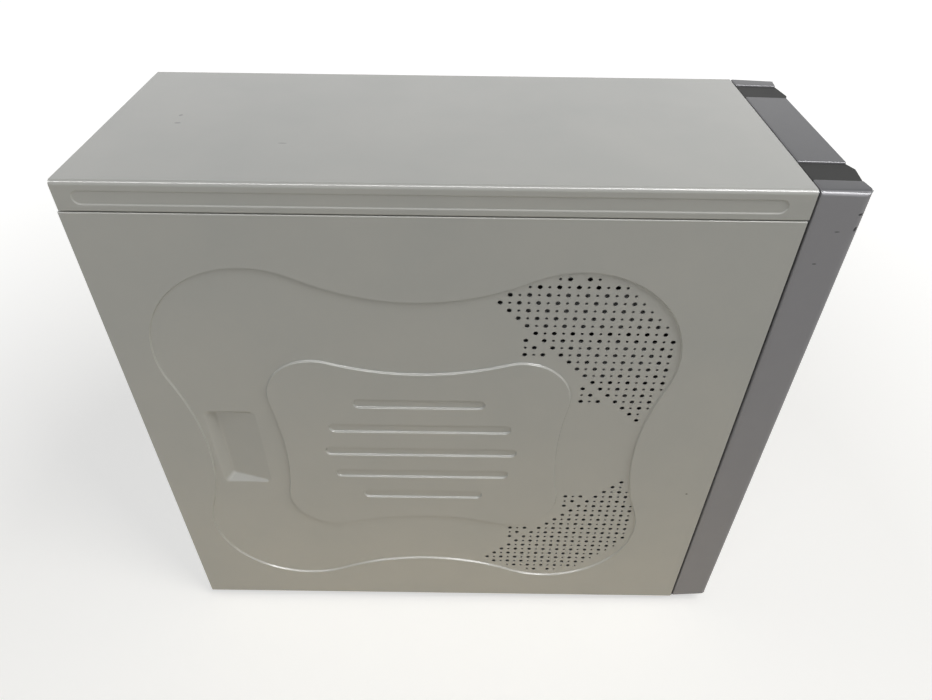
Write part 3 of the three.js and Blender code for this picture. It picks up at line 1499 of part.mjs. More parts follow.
function memoryModule() {
  const thickness = 1.3;
  const tall = 30;
  const endGap = 0.5;
  const chip = 11;
  const chipRise = 1;
  const chips = 4;
  const y = boardFront + memoryFromFront;
  const high = boardFace - memorySlotRise - seatGap;
  const low = high - tall;
  const top = boardTop - memoryDrop - endGap;
  const length = memoryLength - 2 * endGap;
  const parts = [block(low, high, y - thickness / 2, y + thickness / 2, top - length, top)];
  for (let i = 0; i < chips; i += 1) {
    const z = top - (length * (i + 1 / 2)) / chips;
    const front = y - thickness / 2 - chipRise;
    parts.push(block(low + chip / 2, low + chip * 3 / 2, front, y, z - chip / 2, z + chip / 2));
  }
  add('memory_module', join(...parts), ...boardGreen);
}

const bracketBack = rearInner - seatGap;
const bracketFront = bracketBack - frameSheet;
const bracketHeight = 18.4;
const bracketLap = 5; // bracket past the opening's far end
const bracketTop = boardFace - cardInset - cardReach - bracketLap;

function slotBracket(i) {
  const flange = 11;
  const near = boardFace - cardInset + seatGap;
  const z = cardZ(i);
  const half = bracketHeight / 2;
  return join(
    block(bracketTop, near, bracketFront, bracketBack, z - half, z + half),
    block(bracketTop, bracketTop + frameSheet, bracketBack - flange, bracketBack, z - half, z + half),
  );
}

function expansionCards() {
  const cardLength = 168;
  const cardThickness = 1.6;
  const cardTall = 96;
  const chip = 36;
  const chipRise = 7;
  const socketWidth = 30;
  const socketHeight = 9;
  const socketDepth = 10;
  const socketProud = 5;
  const edge = boardFace - cardSlotRise - seatGap;
  const z = cardZ(0);
  const low = z - cardThickness / 2;
  const cardMiddle = bracketFront - cardLength / 2;
  const chipX = edge - cardTall / 2;
  const parts = [
    slotBracket(0),
    block(
      edge - cardTall, edge, bracketFront - cardLength, bracketBack - frameSheet / 2,
      low, low + cardThickness,
    ),
    block(
      chipX - chip / 2, chipX + chip / 2, cardMiddle - chip / 2, cardMiddle + chip / 2,
      low - chipRise, low + cardThickness / 2,
    ),
    block(
      chipX - socketWidth / 2, chipX + socketWidth / 2, bracketBack - socketDepth, rearOuter + socketProud,
      z - socketHeight / 2, z + socketHeight / 2,
    ),
  ];
  add('graphics_card', join(...parts), ...boardGreen);
  for (let i = 1; i < openSlots; i += 1) add(`slot_cover_${i}`, slotBracket(i), ...bareSteel);
}

// Cables that the case holds all the way, each with the plug on its far end
function cable(points, radius, steps) {
  const path = new THREE.CatmullRomCurve3(points.map((p) => new THREE.Vector3(...p)), false, 'centripetal');
  const section = new THREE.Shape(roundHole(0, 0, radius, 6).map(([a, b]) => new THREE.Vector2(a, b)));
  return solidOf(new THREE.ExtrudeGeometry(section, { steps, extrudePath: path, bevelEnabled: false }));
}

const bundleRadius = 5; // cables to the board
const leadRadius = 3; // cables to the drives
const straightRun = 18; // stretch that runs square out of a socket
const plugDepth = 12;
const exitRise = 16; // where the cables leave the supply, above its underside
const boardExitX = -34;
const opticalExitX = -14;
const diskExitX = -56;
const opticalPlugX = -40;
const diskPlugX = 30;
const diskPlugRise = 10; // above the disk's underside
const boardCableDip = 22; // fall of the board's cable at its first bend
const leadSag = 10;

function boardCable() {
  const plugWidth = 9;
  const plugHalf = 24;
  const exitZ = supplyLow + exitRise;
  const start = supplyFront - seatGap;
  const x = boardFace - powerPortRise - seatGap;
  const y = boardFront + portInset;
  const z = boardTop - powerPortDrop;
  const route = [
    [boardExitX, start, exitZ],
    [boardExitX, start - straightRun, exitZ],
    [(2 * boardExitX) / 3, (start + y) / 2 - straightRun, exitZ - boardCableDip],
    [0, y - straightRun, (exitZ + z) / 2 + boardCableDip],
    [x - 2 * straightRun, y - bundleRadius, z + straightRun],
    [x - straightRun, y, z],
    [x - plugDepth / 2, y, z],
  ];
  const plug = block(x - plugDepth, x, y - plugWidth / 2, y + plugWidth / 2, z - plugHalf, z + plugHalf);
  add('supply_cable_board', join(cable(route, bundleRadius, 14), plug), ...blackPlastic);
}

// A lead from the supply to a drive's rear, with its plug
function driveCable(name, exitX, x, y, z, sag) {
  const plugHalf = 8;
  const plugHeight = 9;
  const exitZ = supplyLow + exitRise;
  const start = supplyFront - seatGap;
  const route = [
    [exitX, start, exitZ],
    [exitX, start - straightRun, exitZ],
    [(exitX + x) / 2, (start + y) / 2, Math.min(exitZ, z) - sag],
    [x, y + straightRun + plugDepth, z],
    [x, y + plugDepth / 2, z],
  ];
  const plug = block(x - plugHalf, x + plugHalf, y, y + plugDepth, z - plugHeight / 2, z + plugHeight / 2);
  add(name, join(cable(route, leadRadius, 12), plug), ...blackPlastic);
}

function cables() {
  boardCable();
  const opticalBack = driveFront + opticalDepth + seatGap;
  const diskBack = diskSetBack + diskDepth + seatGap;
  const opticalSocketZ = opticalZ - driveSocketDrop;
  driveCable('supply_cable_optical', opticalExitX, opticalPlugX, opticalBack, opticalSocketZ, leadSag);
  driveCable('supply_cable_disk', diskExitX, diskPlugX, diskBack, diskLow + diskPlugRise, 0);
}

basePan();
feet();
frontFrame();
rearPanel();
boardTray();
topCover();
leftPanel();
rightPanel();
thumbscrews();
frontBezel();
bezelStrips();
wideBayCovers();
slimBayCover();
frontButtons();
frontLamps();
portPanel();
opticalDrive();
floppyDrive();
driveCages();
hardDisk();
caseFan();
powerSupply();
supplyGuard();
powerInlet();
supplySwitches();
mainBoard();
rearPorts();
cooler();
memoryModule();
expansionCards();
cables();

// The origin is the middle of the machine's footprint, on the surface that it stands on.
machine.updateMatrixWorld(true);
const bounds = new THREE.Box3().setFromObject(machine);
const computer = new THREE.Group();
machine.position.set(0, -(bounds.min.y + bounds.max.y) / 2, -bounds.min.z);
computer.add(machine);

export default computer;
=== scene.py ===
# A desktop computer of the mid-tower kind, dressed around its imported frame.
# Lengths are in metres. The front faces -Y, the side that opens faces -X, up is +Z.

import json
import math

import bmesh
import bpy
from mathutils import Matrix, Vector

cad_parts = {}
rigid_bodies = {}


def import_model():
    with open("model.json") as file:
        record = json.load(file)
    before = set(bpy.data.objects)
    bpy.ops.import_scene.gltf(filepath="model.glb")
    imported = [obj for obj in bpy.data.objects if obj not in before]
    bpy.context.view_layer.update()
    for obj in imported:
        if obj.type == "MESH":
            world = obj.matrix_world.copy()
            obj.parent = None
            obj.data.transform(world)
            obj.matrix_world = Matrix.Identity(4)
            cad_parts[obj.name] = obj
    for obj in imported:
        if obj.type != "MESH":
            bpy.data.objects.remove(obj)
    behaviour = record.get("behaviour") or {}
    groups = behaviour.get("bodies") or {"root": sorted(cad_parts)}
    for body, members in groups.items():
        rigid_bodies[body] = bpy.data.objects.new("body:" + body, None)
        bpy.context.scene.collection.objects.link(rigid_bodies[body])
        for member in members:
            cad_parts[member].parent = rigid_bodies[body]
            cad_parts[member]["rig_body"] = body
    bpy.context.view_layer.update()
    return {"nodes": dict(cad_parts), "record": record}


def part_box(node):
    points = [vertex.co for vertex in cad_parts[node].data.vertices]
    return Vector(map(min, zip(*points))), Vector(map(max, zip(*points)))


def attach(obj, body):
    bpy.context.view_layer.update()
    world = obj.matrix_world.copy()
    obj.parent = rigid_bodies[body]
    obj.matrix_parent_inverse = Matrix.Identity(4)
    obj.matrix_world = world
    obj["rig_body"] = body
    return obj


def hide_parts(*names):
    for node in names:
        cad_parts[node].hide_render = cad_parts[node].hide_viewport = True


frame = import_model()
NODES = frame["nodes"]
SLOTS = {part["node"]: part["material_slot"] for part in frame["record"]["subparts"]}
MM = 0.001
QUARTER = math.pi / 2
TURN = 4 * QUARTER

# Outer steel: the sizes that the solids are made with
HALF_WIDTH = 90 * MM
SHEET = 0.75 * MM
VENTED_SHEET = 0.4 * MM
LIP_REACH = 9.2 * MM
FLANGE_LIP = 8 * MM
FOLD_RADIUS = 0.9 * MM
COVER_RADIUS = 3 * MM
PRESS_DEPTH = 1.5 * MM
PRESS_WIDTH = 0.8 * MM
PRESS_STEPS = 6
COVER_BEAD_DEPTH = 0.6 * MM
COVER_BEAD_WALL = 1.1 * MM
REAR_LIP = 8.8 * MM

# The bead on the cover's flange, in millimetres from the flange's front, rear and lower edges
COVER_BEAD_FRONT = 13.7
COVER_BEAD_REAR = 9.7
COVER_BEAD_LOW = 3.8
COVER_BEAD_HIGH = 13.2
COVER_BEAD_RADIUS = 4.7
PANEL_CORNER = 0.4

# The pressed recess of the left panel, from the panel's corner, and its middle's place
PANEL_LOW, PANEL_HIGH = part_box("side_panel_left")
CUSHION_Y = PANEL_LOW.y + 226.4 * MM
CUSHION_Z = PANEL_LOW.z + 194.95 * MM
RECESS = {"reach_y": 175.9, "reach_z": 163.25, "lobe": 71.3, "waist": 16.0, "dip": 24.3}
MIDDLE = {"reach_y": 106.1, "reach_z": 88.6, "lobe": 34.4, "waist": 5.0, "dip": 11.0}

# Vents, from the recess's middle, in millimetres. The lower vent mirrors the upper one.
VENT_COLUMN_PITCH = 6.02
VENT_ROW_PITCH = 6.07
VENT_START_Y = -53.7
VENT_MIDDLE_Z = 0.9
VENT_START_Z = 156.2
VENT_LARGE = 1.62
VENT_SMALL = 1.0
VENT_BLANKS = ((8, 0),)
FIRST_COLUMNS = (6, 3, 1)
LAST_COLUMNS = (10, 13, 14, 15, 16, 17, 18, 18, 19, 19, 19, 19, 19, 19, 19, 19, 18, 18, 18, 17, 17)
REAR_ROWS = 3
WEDGE_ROWS = 3
WEDGE_STARTS = ((3, 8), (10, 15))

# Stiffening beads on the raised middle
BEAD_COUNT = 5
BEAD_PITCH = 25
BEAD_WIDTH = 9
BEAD_REACH = 72
BEAD_SPREAD = 66

# Finger recess, in millimetres. Its wall is given by insets and shares of the depth.
GRIP_REAR = PANEL_HIGH.y / MM - 45.3
GRIP_FRONT = GRIP_REAR - 37.2
GRIP_HEIGHT = 78.6
GRIP_DEPTH = 8
GRIP_CORNER = 4
GRIP_DRAFT = 2
GRIP_LEAN = 4.5
GRIP_MOUTH = 0.7
GRIP_WALL = ((-0.1, 0.04), (-0.5, 0.14), (-1.5, 0.84), (-2.0, 0.94), (-2.8, 0.985), (-3.6, 1.0))

# Front bezel
BEZEL_LOW, BEZEL_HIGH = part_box("front_bezel")
BEZEL_FRONT = BEZEL_LOW.y
BEZEL_REAR = BEZEL_HIGH.y
BEZEL_TOP = BEZEL_HIGH.z
TOP_LIFT = 2.2 * MM
FACE_LINE = BEZEL_FRONT + 7 * MM
FACE_SHIFT = 1.5 * MM
STRIP_OUTER = 76 * MM
NOSE_OLD = 3.4 * MM
NOSE_NEW = 5.6 * MM
SEAM_BOW = 0.9 * MM

# Fans and main board, in millimetres
FAN_WALL = 1.6
FAN_FLANGE = 3.8
FAN_SCREW_INSET = 4.25
TIP_GAP = 2.8
MOTOR_SHARE = 0.22
STRUT_HALF = 2
STRUT = 2
BLADES = 7
BLADE_SWEEP = 0.8
BLADE_LEAN = 0.22
BLADE_THICKNESS = 1.2
BOARD_THICKNESS = 1.6
BOARD_HEIGHT = 244


# Mesh helpers

def box_mm(node):
    return [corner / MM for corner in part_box(node)]


def linked(name, data):
    item = bpy.data.objects.new(name, data)
    bpy.context.scene.collection.objects.link(item)
    return item


def piece_of(name, bm, body, materials, nodes=()):
    """Turns a bmesh into a finished piece that rides on a body and may stand for CAD nodes."""
    mesh = bpy.data.meshes.new(name)
    bm.to_mesh(mesh)
    bm.free()
    piece = linked(name, mesh)
    for material in materials:
        piece.data.materials.append(material)
    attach(piece, body)
    if nodes:
        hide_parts(*nodes)
    return piece


def smooth(mesh):
    for polygon in mesh.polygons:
        polygon.use_smooth = True


def settle(piece, angle=32):
    """Applies the piece's modifiers and shades it smooth up to an angle."""
    smooth(piece.data)
    graph = bpy.context.evaluated_depsgraph_get()
    made = bpy.data.meshes.new_from_object(piece.evaluated_get(graph))
    piece.modifiers.clear()
    piece.data = made
    smooth(made)
    made.set_sharp_from_angle(angle=math.radians(angle))
    modifier = piece.modifiers.new("flat faces stay flat", "WEIGHTED_NORMAL")
    modifier.keep_sharp = True
    modifier.weight = 100


def thicken(piece, thickness):
    modifier = piece.modifiers.new("sheet", "SOLIDIFY")
    modifier.thickness = thickness
    modifier.offset = -1
    modifier.use_even_offset = True


def soften(piece, width, segments, angle):
    modifier = piece.modifiers.new("edges", "BEVEL")
    modifier.width = width * MM
    modifier.segments = segments
    modifier.limit_method = "ANGLE"
    modifier.angle_limit = math.radians(angle)
    modifier.use_clamp_overlap = False
    modifier.miter_outer = "MITER_SHARP"


def arc(a, b, radius, start, end, steps):
    points = []
    for i in range(steps + 1):
        angle = start + (end - start) * i / steps
        points.append((a + radius * math.cos(angle), b + radius * math.sin(angle)))
    return points


def round_rect(a0, a1, b0, b1, radius, steps):
    return [
        *arc(a1 - radius, b1 - radius, radius, 0, QUARTER, steps),
        *arc(a0 + radius, b1 - radius, radius, QUARTER, 2 * QUARTER, steps),
        *arc(a0 + radius, b0 + radius, radius, 2 * QUARTER, 3 * QUARTER, steps),
        *arc(a1 - radius, b0 + radius, radius, 3 * QUARTER, TURN, steps),
    ]


def cushion(form, grow):
    """Four round lobes joined by hollow arcs that touch them, in millimetres from its middle."""
    radius = form["lobe"] + grow
    lobe_y = form["reach_y"] - form["lobe"]
    lobe_z = form["reach_z"] - form["lobe"]
    waist = form["reach_y"] - form["waist"] + grow
    dip = form["reach_z"] - form["dip"] + grow

    def hollow(along, across, edge):
        rise = edge - across
        return (along ** 2 + rise ** 2 - radius ** 2) / (2 * (radius - rise))

    top = hollow(lobe_y, lobe_z, dip)
    side = hollow(lobe_z, lobe_y, waist)
    side_turn = math.atan2(lobe_z, waist + side - lobe_y)
    top_turn = math.atan2(lobe_y, dip + top - lobe_z)
    quarter = [
        *arc(waist + side, 0, side, math.pi, math.pi - side_turn, 10),
        *arc(lobe_y, lobe_z, radius, -side_turn, QUARTER + top_turn, 30)[1:],
        *arc(0, dip + top, top, top_turn - QUARTER, -QUARTER, 10)[1:],
    ]
    upper = quarter + [(-y, z) for y, z in reversed(quarter[:-1])]
    lower = [(y, -z) for y, z in reversed(upper[1:-1])]
    return upper + lower


def closed_loop(bm, places):
    verts = [bm.verts.new(place) for place in places]
    return [bm.edges.new((verts[i - 1], verts[i])) for i in range(len(verts))]


def loop_on_side(bm, outline, depth):
    """A closed loop of edges on the left side, from (y, z) in millimetres and depths."""
    places = []
    for i, (y, z) in enumerate(outline):
        deep = depth[i] if isinstance(depth, list) else depth
        place = Vector((-HALF_WIDTH + deep, y * MM, z * MM))
        if places and (place - places[-1]).length < 1e-6:
            continue
        if i == len(outline) - 1 and (place - places[0]).length < 1e-6:
            continue
        places.append(place)
    return closed_loop(bm, places)


def bridge(bm, rings):
    for first, second in zip(rings, rings[1:]):
        bmesh.ops.bridge_loops(bm, edges=first + second)


def fill(bm, edges, normal=(-1, 0, 0)):
    filled = bmesh.ops.triangle_fill(
        bm, use_beauty=True, use_dissolve=False, edges=edges, normal=normal)
    return filled["geom"]


def only(kind, geom):
    return [part for part in geom if isinstance(part, kind)]


def extruded(bm, edges, move):
    """Extrudes edges and moves the new ones, which it returns."""
    made = bmesh.ops.extrude_edge_only(bm, edges=edges)["geom"]
    bmesh.ops.translate(bm, verts=only(bmesh.types.BMVert, made), vec=move)
    return only(bmesh.types.BMEdge, made)


def face_outward(bm, outward):
    """Turns all faces alike, so that the largest looks outward."""
    bmesh.ops.recalc_face_normals(bm, faces=bm.faces)
    big = max(bm.faces, key=lambda face: face.calc_area())
    if big.normal.dot(Vector(outward)) < 0:
        bmesh.ops.reverse_faces(bm, faces=bm.faces)


def pressed(bm, outline_at, width, depth):
    """The S-shaped wall of a pressed step, which runs inwards. outline_at(grow) gives its outline."""
    rings = []
    for i in range(PRESS_STEPS + 1):
        along = i / PRESS_STEPS
        down = along * along * (3 - 2 * along)
        rings.append(loop_on_side(bm, outline_at(-along * width / MM), depth * down))
    bridge(bm, rings)
    return rings[0], rings[-1]


def placed(outline):
    """An outline around the recess's middle, in its place on the panel."""
    return [(y + CUSHION_Y / MM, z + CUSHION_Z / MM) for y, z in outline]


def vent_holes():
    holes = []
    for row, last in enumerate(LAST_COLUMNS):
        first = FIRST_COLUMNS[row] if row < len(FIRST_COLUMNS) else 0
        for column in range(first, last + 1):
            if not is_vent_hole(column, row):
                continue
            y = VENT_START_Y - column * VENT_COLUMN_PITCH
            rise = VENT_START_Z - row * VENT_ROW_PITCH
            large = (column + row) % 2 == 1
            holes += [(y, VENT_MIDDLE_Z + rise, large), (y, VENT_MIDDLE_Z - rise, large)]
    return holes


def is_vent_hole(column, row):
    if (column, row) in VENT_BLANKS:
        return False
    if column >= row - REAR_ROWS:
        return True
    for first_column, first_row in WEDGE_STARTS:
        down = row - first_row
        if 0 <= down < WEDGE_ROWS and first_column <= column <= first_column + down:
            return True
    return False


# Side panels

def finger_recess(bm, level):
    """The ramped hollow. Returns the loop that joins it to the panel around it."""
    front, rear = GRIP_FRONT, GRIP_REAR
    low = CUSHION_Z / MM - GRIP_HEIGHT / 2
    high = CUSHION_Z / MM + GRIP_HEIGHT / 2
    middle = (low + high) / 2

    def outline(grow):
        return round_rect(front - grow, rear + grow, low - grow, high + grow, GRIP_CORNER + grow, 8)

    def ramp(y):
        share = (y - front) / (rear - GRIP_DRAFT - GRIP_LEAN - front)
        return level + (GRIP_DEPTH * MM - level) * min(max(share, 0.0), 1.0)

    mouth = loop_on_side(bm, outline(GRIP_MOUTH), level)
    rings = [mouth]
    for inset, share in GRIP_WALL:
        points = []
        for y, z in outline(inset):
            lean = GRIP_LEAN * share * (y - front) / (rear - front)
            pulled_in = 1 - lean / (GRIP_HEIGHT / 2)
            points.append((y - lean, middle + (z - middle) * pulled_in))
        depths = [level + (ramp(y) - level) * share for y, z in points]
        rings.append(loop_on_side(bm, points, depths))
    bridge(bm, rings)
    fill(bm, rings[-1])
    return mouth


def panel_folds(bm, low, high, front, rear):
    """The sheet's edges: a small bend and a lip on all four sides. Returns the face's border."""
    radius = FOLD_RADIUS / MM
    steps = 4

    def outline(grow):
        return round_rect(front - grow, rear + grow, low - grow, high + grow, PANEL_CORNER - grow, 3)

    rings = []
    for i in range(steps + 1):
        turn = QUARTER * i / steps
        depth = FOLD_RADIUS * (1 - math.cos(turn))
        rings.append(loop_on_side(bm, outline(radius * (math.sin(turn) - 1)), depth))
    lip = loop_on_side(bm, outline(0), LIP_REACH)
    rings.append(lip)
    bridge(bm, rings)
    for height, way in ((low, 1), (high, -1)):
        edge = [e for e in lip if all(abs(v.co.z - height * MM) < 1e-6 for v in e.verts)]
        extruded(bm, edge, (0, 0, way * FLANGE_LIP))
    edge = [e for e in lip if all(abs(v.co.y - rear * MM) < 1e-6 for v in e.verts)]
    extruded(bm, edge, (REAR_LIP, 0, 0))
    return rings[0]


def side_panel(node, body, pressed_face):
    """A folded side panel. Its pressed face has the recess, the raised middle and the vents."""
    low, high = box_mm(node)
    bm = bmesh.new()
    border = panel_folds(bm, low.z, high.z, low.y, high.y)
    if pressed_face:
        rim, floor = pressed(bm, lambda grow: placed(cushion(RECESS, grow)), PRESS_WIDTH, PRESS_DEPTH)
        fill(bm, border + rim)
        mouth = finger_recess(bm, PRESS_DEPTH)
        crown, base = pressed(bm, lambda grow: placed(cushion(MIDDLE, -grow)), PRESS_WIDTH, PRESS_DEPTH)
        edges = floor + base + mouth
        for y, z, large in vent_holes():
            radius, sides = (VENT_LARGE, 14) if large else (VENT_SMALL, 10)
            edges += loop_on_side(bm, placed(circle(radius, sides, y, z)), PRESS_DEPTH)
        fill(bm, edges)
        island = list(crown)
        for i in range(BEAD_COUNT):
            rise = (i - (BEAD_COUNT - 1) / 2) * BEAD_PITCH
            reach = BEAD_REACH * math.sqrt(1 - (rise / BEAD_SPREAD) ** 2)
            half = BEAD_WIDTH / 2

            def bead(grow, reach=reach, rise=rise):
                outline = round_rect(
                    -reach - grow, reach + grow, rise - half - grow, rise + half + grow, half + grow, 8)
                return placed(outline)

            rim, floor = pressed(bm, bead, PRESS_WIDTH, PRESS_DEPTH)
            fill(bm, floor)
            island += rim
        fill(bm, island)
    else:
        mouth = finger_recess(bm, 0)
        fill(bm, border + mouth)
    bmesh.ops.remove_doubles(bm, verts=bm.verts, dist=1e-6)
    outward = 1 if high.x > 0 else -1
    if outward > 0:
        bmesh.ops.scale(bm, vec=(-1, 1, 1), verts=bm.verts)
    face_outward(bm, (outward, 0, 0))
    piece = piece_of(node + "_skin", bm, body, [PAINT], [node])
    thicken(piece, VENTED_SHEET if pressed_face else SHEET)
    settle(piece)


def top_cover():
    """The top sheet, from its left flange with the bead over the bend, then mirrored."""
    low, high = box_mm("top_cover")
    radius = FOLD_RADIUS / MM
    lowest = low.z + radius
    highest = high.z - COVER_RADIUS / MM
    bm = bmesh.new()

    def bead(grow):
        return round_rect(
            low.y + COVER_BEAD_FRONT - grow, high.y - COVER_BEAD_REAR + grow,
            low.z + COVER_BEAD_LOW - grow, low.z + COVER_BEAD_HIGH + grow, COVER_BEAD_RADIUS + grow, 10)

    rim, floor = pressed(bm, bead, COVER_BEAD_WALL, COVER_BEAD_DEPTH)
    fill(bm, floor)
    corners = [(low.y, lowest), (high.y, lowest), (high.y, highest), (low.y, highest)]
    border = loop_on_side(bm, corners, 0)
    fill(bm, border + rim)
    lower = [e for e in border if all(v.co.z < lowest * MM + 1e-6 for v in e.verts)]
    upper = [e for e in border if all(v.co.z > highest * MM - 1e-6 for v in e.verts)]
    fold = [(FOLD_RADIUS * (1 - math.cos(t)), -FOLD_RADIUS * math.sin(t)) for t in turns(4)]
    bend = [(COVER_RADIUS * (1 - math.cos(t)), COVER_RADIUS * math.sin(t)) for t in turns(10)]
    sweep(bm, lower, fold + [(LIP_REACH, fold[-1][1])])
    sweep(bm, upper, bend + [(HALF_WIDTH, COVER_RADIUS)])
    bmesh.ops.mirror(bm, geom=bm.verts[:] + bm.edges[:] + bm.faces[:], axis="X", merge_dist=1e-5)
    bmesh.ops.remove_doubles(bm, verts=bm.verts, dist=1e-6)
    face_outward(bm, (0, 0, 1))
    piece = piece_of("top_cover_skin", bm, "chassis", [PAINT], ["top_cover"])
    thicken(piece, SHEET)
    settle(piece)


def turns(steps):
    return [QUARTER * (i + 1) / steps for i in range(steps)]


def sweep(bm, edges, offsets):
    """Extrudes edges along (inward, upward) offsets from where they started."""
    before = (0.0, 0.0)
    for inward, upward in offsets:
        edges = extruded(bm, edges, (inward - before[0], 0, upward - before[1]))
        before = (inward, upward)


def shape_of(node):
    """A merged copy of a CAD node's shape, its flat faces joined as far as four corners allow."""
    bm = bmesh.new()
    bm.from_mesh(NODES[node].data)
    bmesh.ops.remove_doubles(bm, verts=bm.verts, dist=2e-6)
    bmesh.ops.dissolve_limit(bm, angle_limit=math.radians(1), verts=bm.verts, edges=bm.edges)
    many_sided = [face for face in bm.faces if len(face.verts) > 4]
    bmesh.ops.triangulate(bm, faces=many_sided, quad_method="BEAUTY", ngon_method="BEAUTY")
    bmesh.ops.join_triangles(
        bm, faces=bm.faces, angle_face_threshold=math.radians(1), angle_shape_threshold=math.radians(60))
    return bm


def refined(node, width, segments, angle, finishes=(), pick=None, shape=None):
    """A CAD node's own shape with its edges softened. pick(face) chooses one of the finishes."""
    bm = shape_of(node)
    if shape:
        shape(bm)
    if pick:
        for face in bm.faces:
            face.material_index = pick(face)
    slot = SLOTS[node]
    piece = piece_of(
        node + "_finished", bm, NODES[node]["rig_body"], [FINISHES[slot], *finishes], [node])
    soften(piece, width, segments, angle)
    settle(piece)


def in_seam_shade(face):
    """The front frame's outer edges get the dark rubber finish as painted shade, which shows in the
    seam.
    """
    return 1 if abs(face.calc_center_median().x) > HALF_WIDTH - 1.6 * MM else 0


# Front bezel

def level_top(bm):
    """Lifts the bezel's sloping top almost level."""
    for vert in bm.verts:
        if vert.co.z > BEZEL_TOP - 12 * MM:
            vert.co.z += TOP_LIFT * (BEZEL_REAR - vert.co.y) / (BEZEL_REAR - BEZEL_FRONT)


def bring_forward(bm):
    """Moves the middle of the bezel's face, and what is set in it, a little to the front."""
    for vert in bm.verts:
        if vert.co.y < FACE_LINE and abs(vert.co.x) < STRIP_OUTER + 1e-4:
            vert.co.y -= FACE_SHIFT


def shape_strip(bm):
    bring_forward(bm)
    level_top(bm)


def shape_bezel(bm):
    """Rounds the fins' noses and bows the edges beside the panels."""
    bring_forward(bm)
    for vert in bm.verts:
        side = 1 if vert.co.x > 0 else -1
        across = side * vert.co.x - HALF_WIDTH
        along = vert.co.y - BEZEL_FRONT
        if across > -NOSE_OLD - 1e-5 and along < NOSE_OLD + 1e-5:
            vert.co.x = side * (HALF_WIDTH + across * NOSE_NEW / NOSE_OLD)
            vert.co.y = BEZEL_FRONT + along * NOSE_NEW / NOSE_OLD
    level_top(bm)
    middle = (BEZEL_LOW.z + BEZEL_HIGH.z) / 2
    half = (BEZEL_HIGH.z - BEZEL_LOW.z) / 2
    cuts = 10
    for i in range(1, cuts):
        height = BEZEL_LOW.z + (BEZEL_HIGH.z - BEZEL_LOW.z) * i / cuts
        geom = bm.verts[:] + bm.edges[:] + bm.faces[:]
        bmesh.ops.bisect_plane(bm, geom=geom, plane_co=(0, 0, height), plane_no=(0, 0, 1), dist=1e-6)
    for vert in bm.verts:
        if abs(abs(vert.co.x) - HALF_WIDTH) < 1e-5 and vert.co.y > BEZEL_REAR - 1e-5:
            vert.co.y -= SEAM_BOW * (1 - ((vert.co.z - middle) / half) ** 2)


# Finishes

def srgb(red, green, blue):
    """A colour as it looks on a screen, from 0 to 255, as the shader takes it."""
    def linear(value):
        share = value / 255
        return share / 12.92 if share <= 0.04045 else ((share + 0.055) / 1.055) ** 2.4
    return (linear(red), linear(green), linear(blue), 1.0)


def set_inputs(tree, node, values):
    """Sets a node's inputs to numbers, colours or the sockets of other nodes."""
    for key, value in values.items():
        if isinstance(value, bpy.types.NodeSocket):
            tree.links.new(value, node.inputs[key])
        else:
            node.inputs[key].default_value = value


def add_node(tree, kind, inputs, **settings):
    node = tree.nodes.new("ShaderNode" + kind)
    for label, value in settings.items():
        setattr(node, label, value)
    set_inputs(tree, node, inputs)
    return node


def noise(tree, position, scale, detail=3.0, roughness=0.5):
    inputs = {"Vector": position, "Scale": scale, "Detail": detail, "Roughness": roughness}
    return add_node(tree, "TexNoise", inputs).outputs["Fac"]


def math_node(tree, operation, first, second):
    return add_node(tree, "Math", {0: first, 1: second}, operation=operation).outputs[0]


def vector_node(tree, operation, output, *vectors):
    return add_node(tree, "VectorMath", dict(enumerate(vectors)), operation=operation).outputs[output]


def map_range(tree, value, low, high, to_low=0.0, to_high=1.0):
    inputs = {"Value": value, "From Min": low, "From Max": high, "To Min": to_low, "To Max": to_high}
    return add_node(tree, "MapRange", inputs).outputs["Result"]


def mix_colour(tree, factor, first, second):
    return add_node(tree, "Mix", {0: factor, 6: first, 7: second}, data_type="RGBA").outputs[2]


def new_group(name, inputs, outputs, make):
    """A node group. make(group, given) returns the sockets of its outputs."""
    group = bpy.data.node_groups.new(name, "ShaderNodeTree")
    kinds = {1: "NodeSocketFloat", 3: "NodeSocketVector", 4: "NodeSocketColor"}
    for label, value in inputs.items():
        size = len(value) if isinstance(value, tuple) else 1
        socket = group.interface.new_socket(name=label, in_out="INPUT", socket_type=kinds[size])
        socket.default_value = value
    for label, size in outputs.items():
        group.interface.new_socket(name=label, in_out="OUTPUT", socket_type=kinds[size])
    entry = group.nodes.new("NodeGroupInput")
    result = group.nodes.new("NodeGroupOutput")
    for label, socket in zip(outputs, make(group, entry.outputs)):
        group.links.new(socket, result.inputs[label])
    return group


def mottle(group, given):
    """Slow, faint change of a colour over the surface."""
    cloud = noise(group, given["Position"], given["Scale"], 4.0, 0.6)
    mask = map_range(group, cloud, 0.3, 0.7)
    return mix_colour(group, mask, given["Colour"], given["Other"]), mask


def grain(group, given):
    """The height of a fine grain, for a bump."""
    fine = noise(group, given["Position"], given["Scale"], 2.0)
    coarse_scale = math_node(group, "MULTIPLY", given["Scale"], 0.23)
    coarse = noise(group, given["Position"], coarse_scale, 1.0)
    return [math_node(group, "ADD", fine, math_node(group, "MULTIPLY", coarse, 0.6))]


def specks(group, given):
    """Rare small specks, such as chips and dirt."""
    inputs = {"Vector": given["Position"], "Scale": given["Scale"]}
    cells = add_node(group, "TexVoronoi", inputs)
    near = math_node(group, "LESS_THAN", cells.outputs["Distance"], given["Size"])
    few = math_node(group, "GREATER_THAN", noise(group, given["Position"], 9.0, 1.0), 0.56)
    return [math_node(group, "MULTIPLY", near, few)]


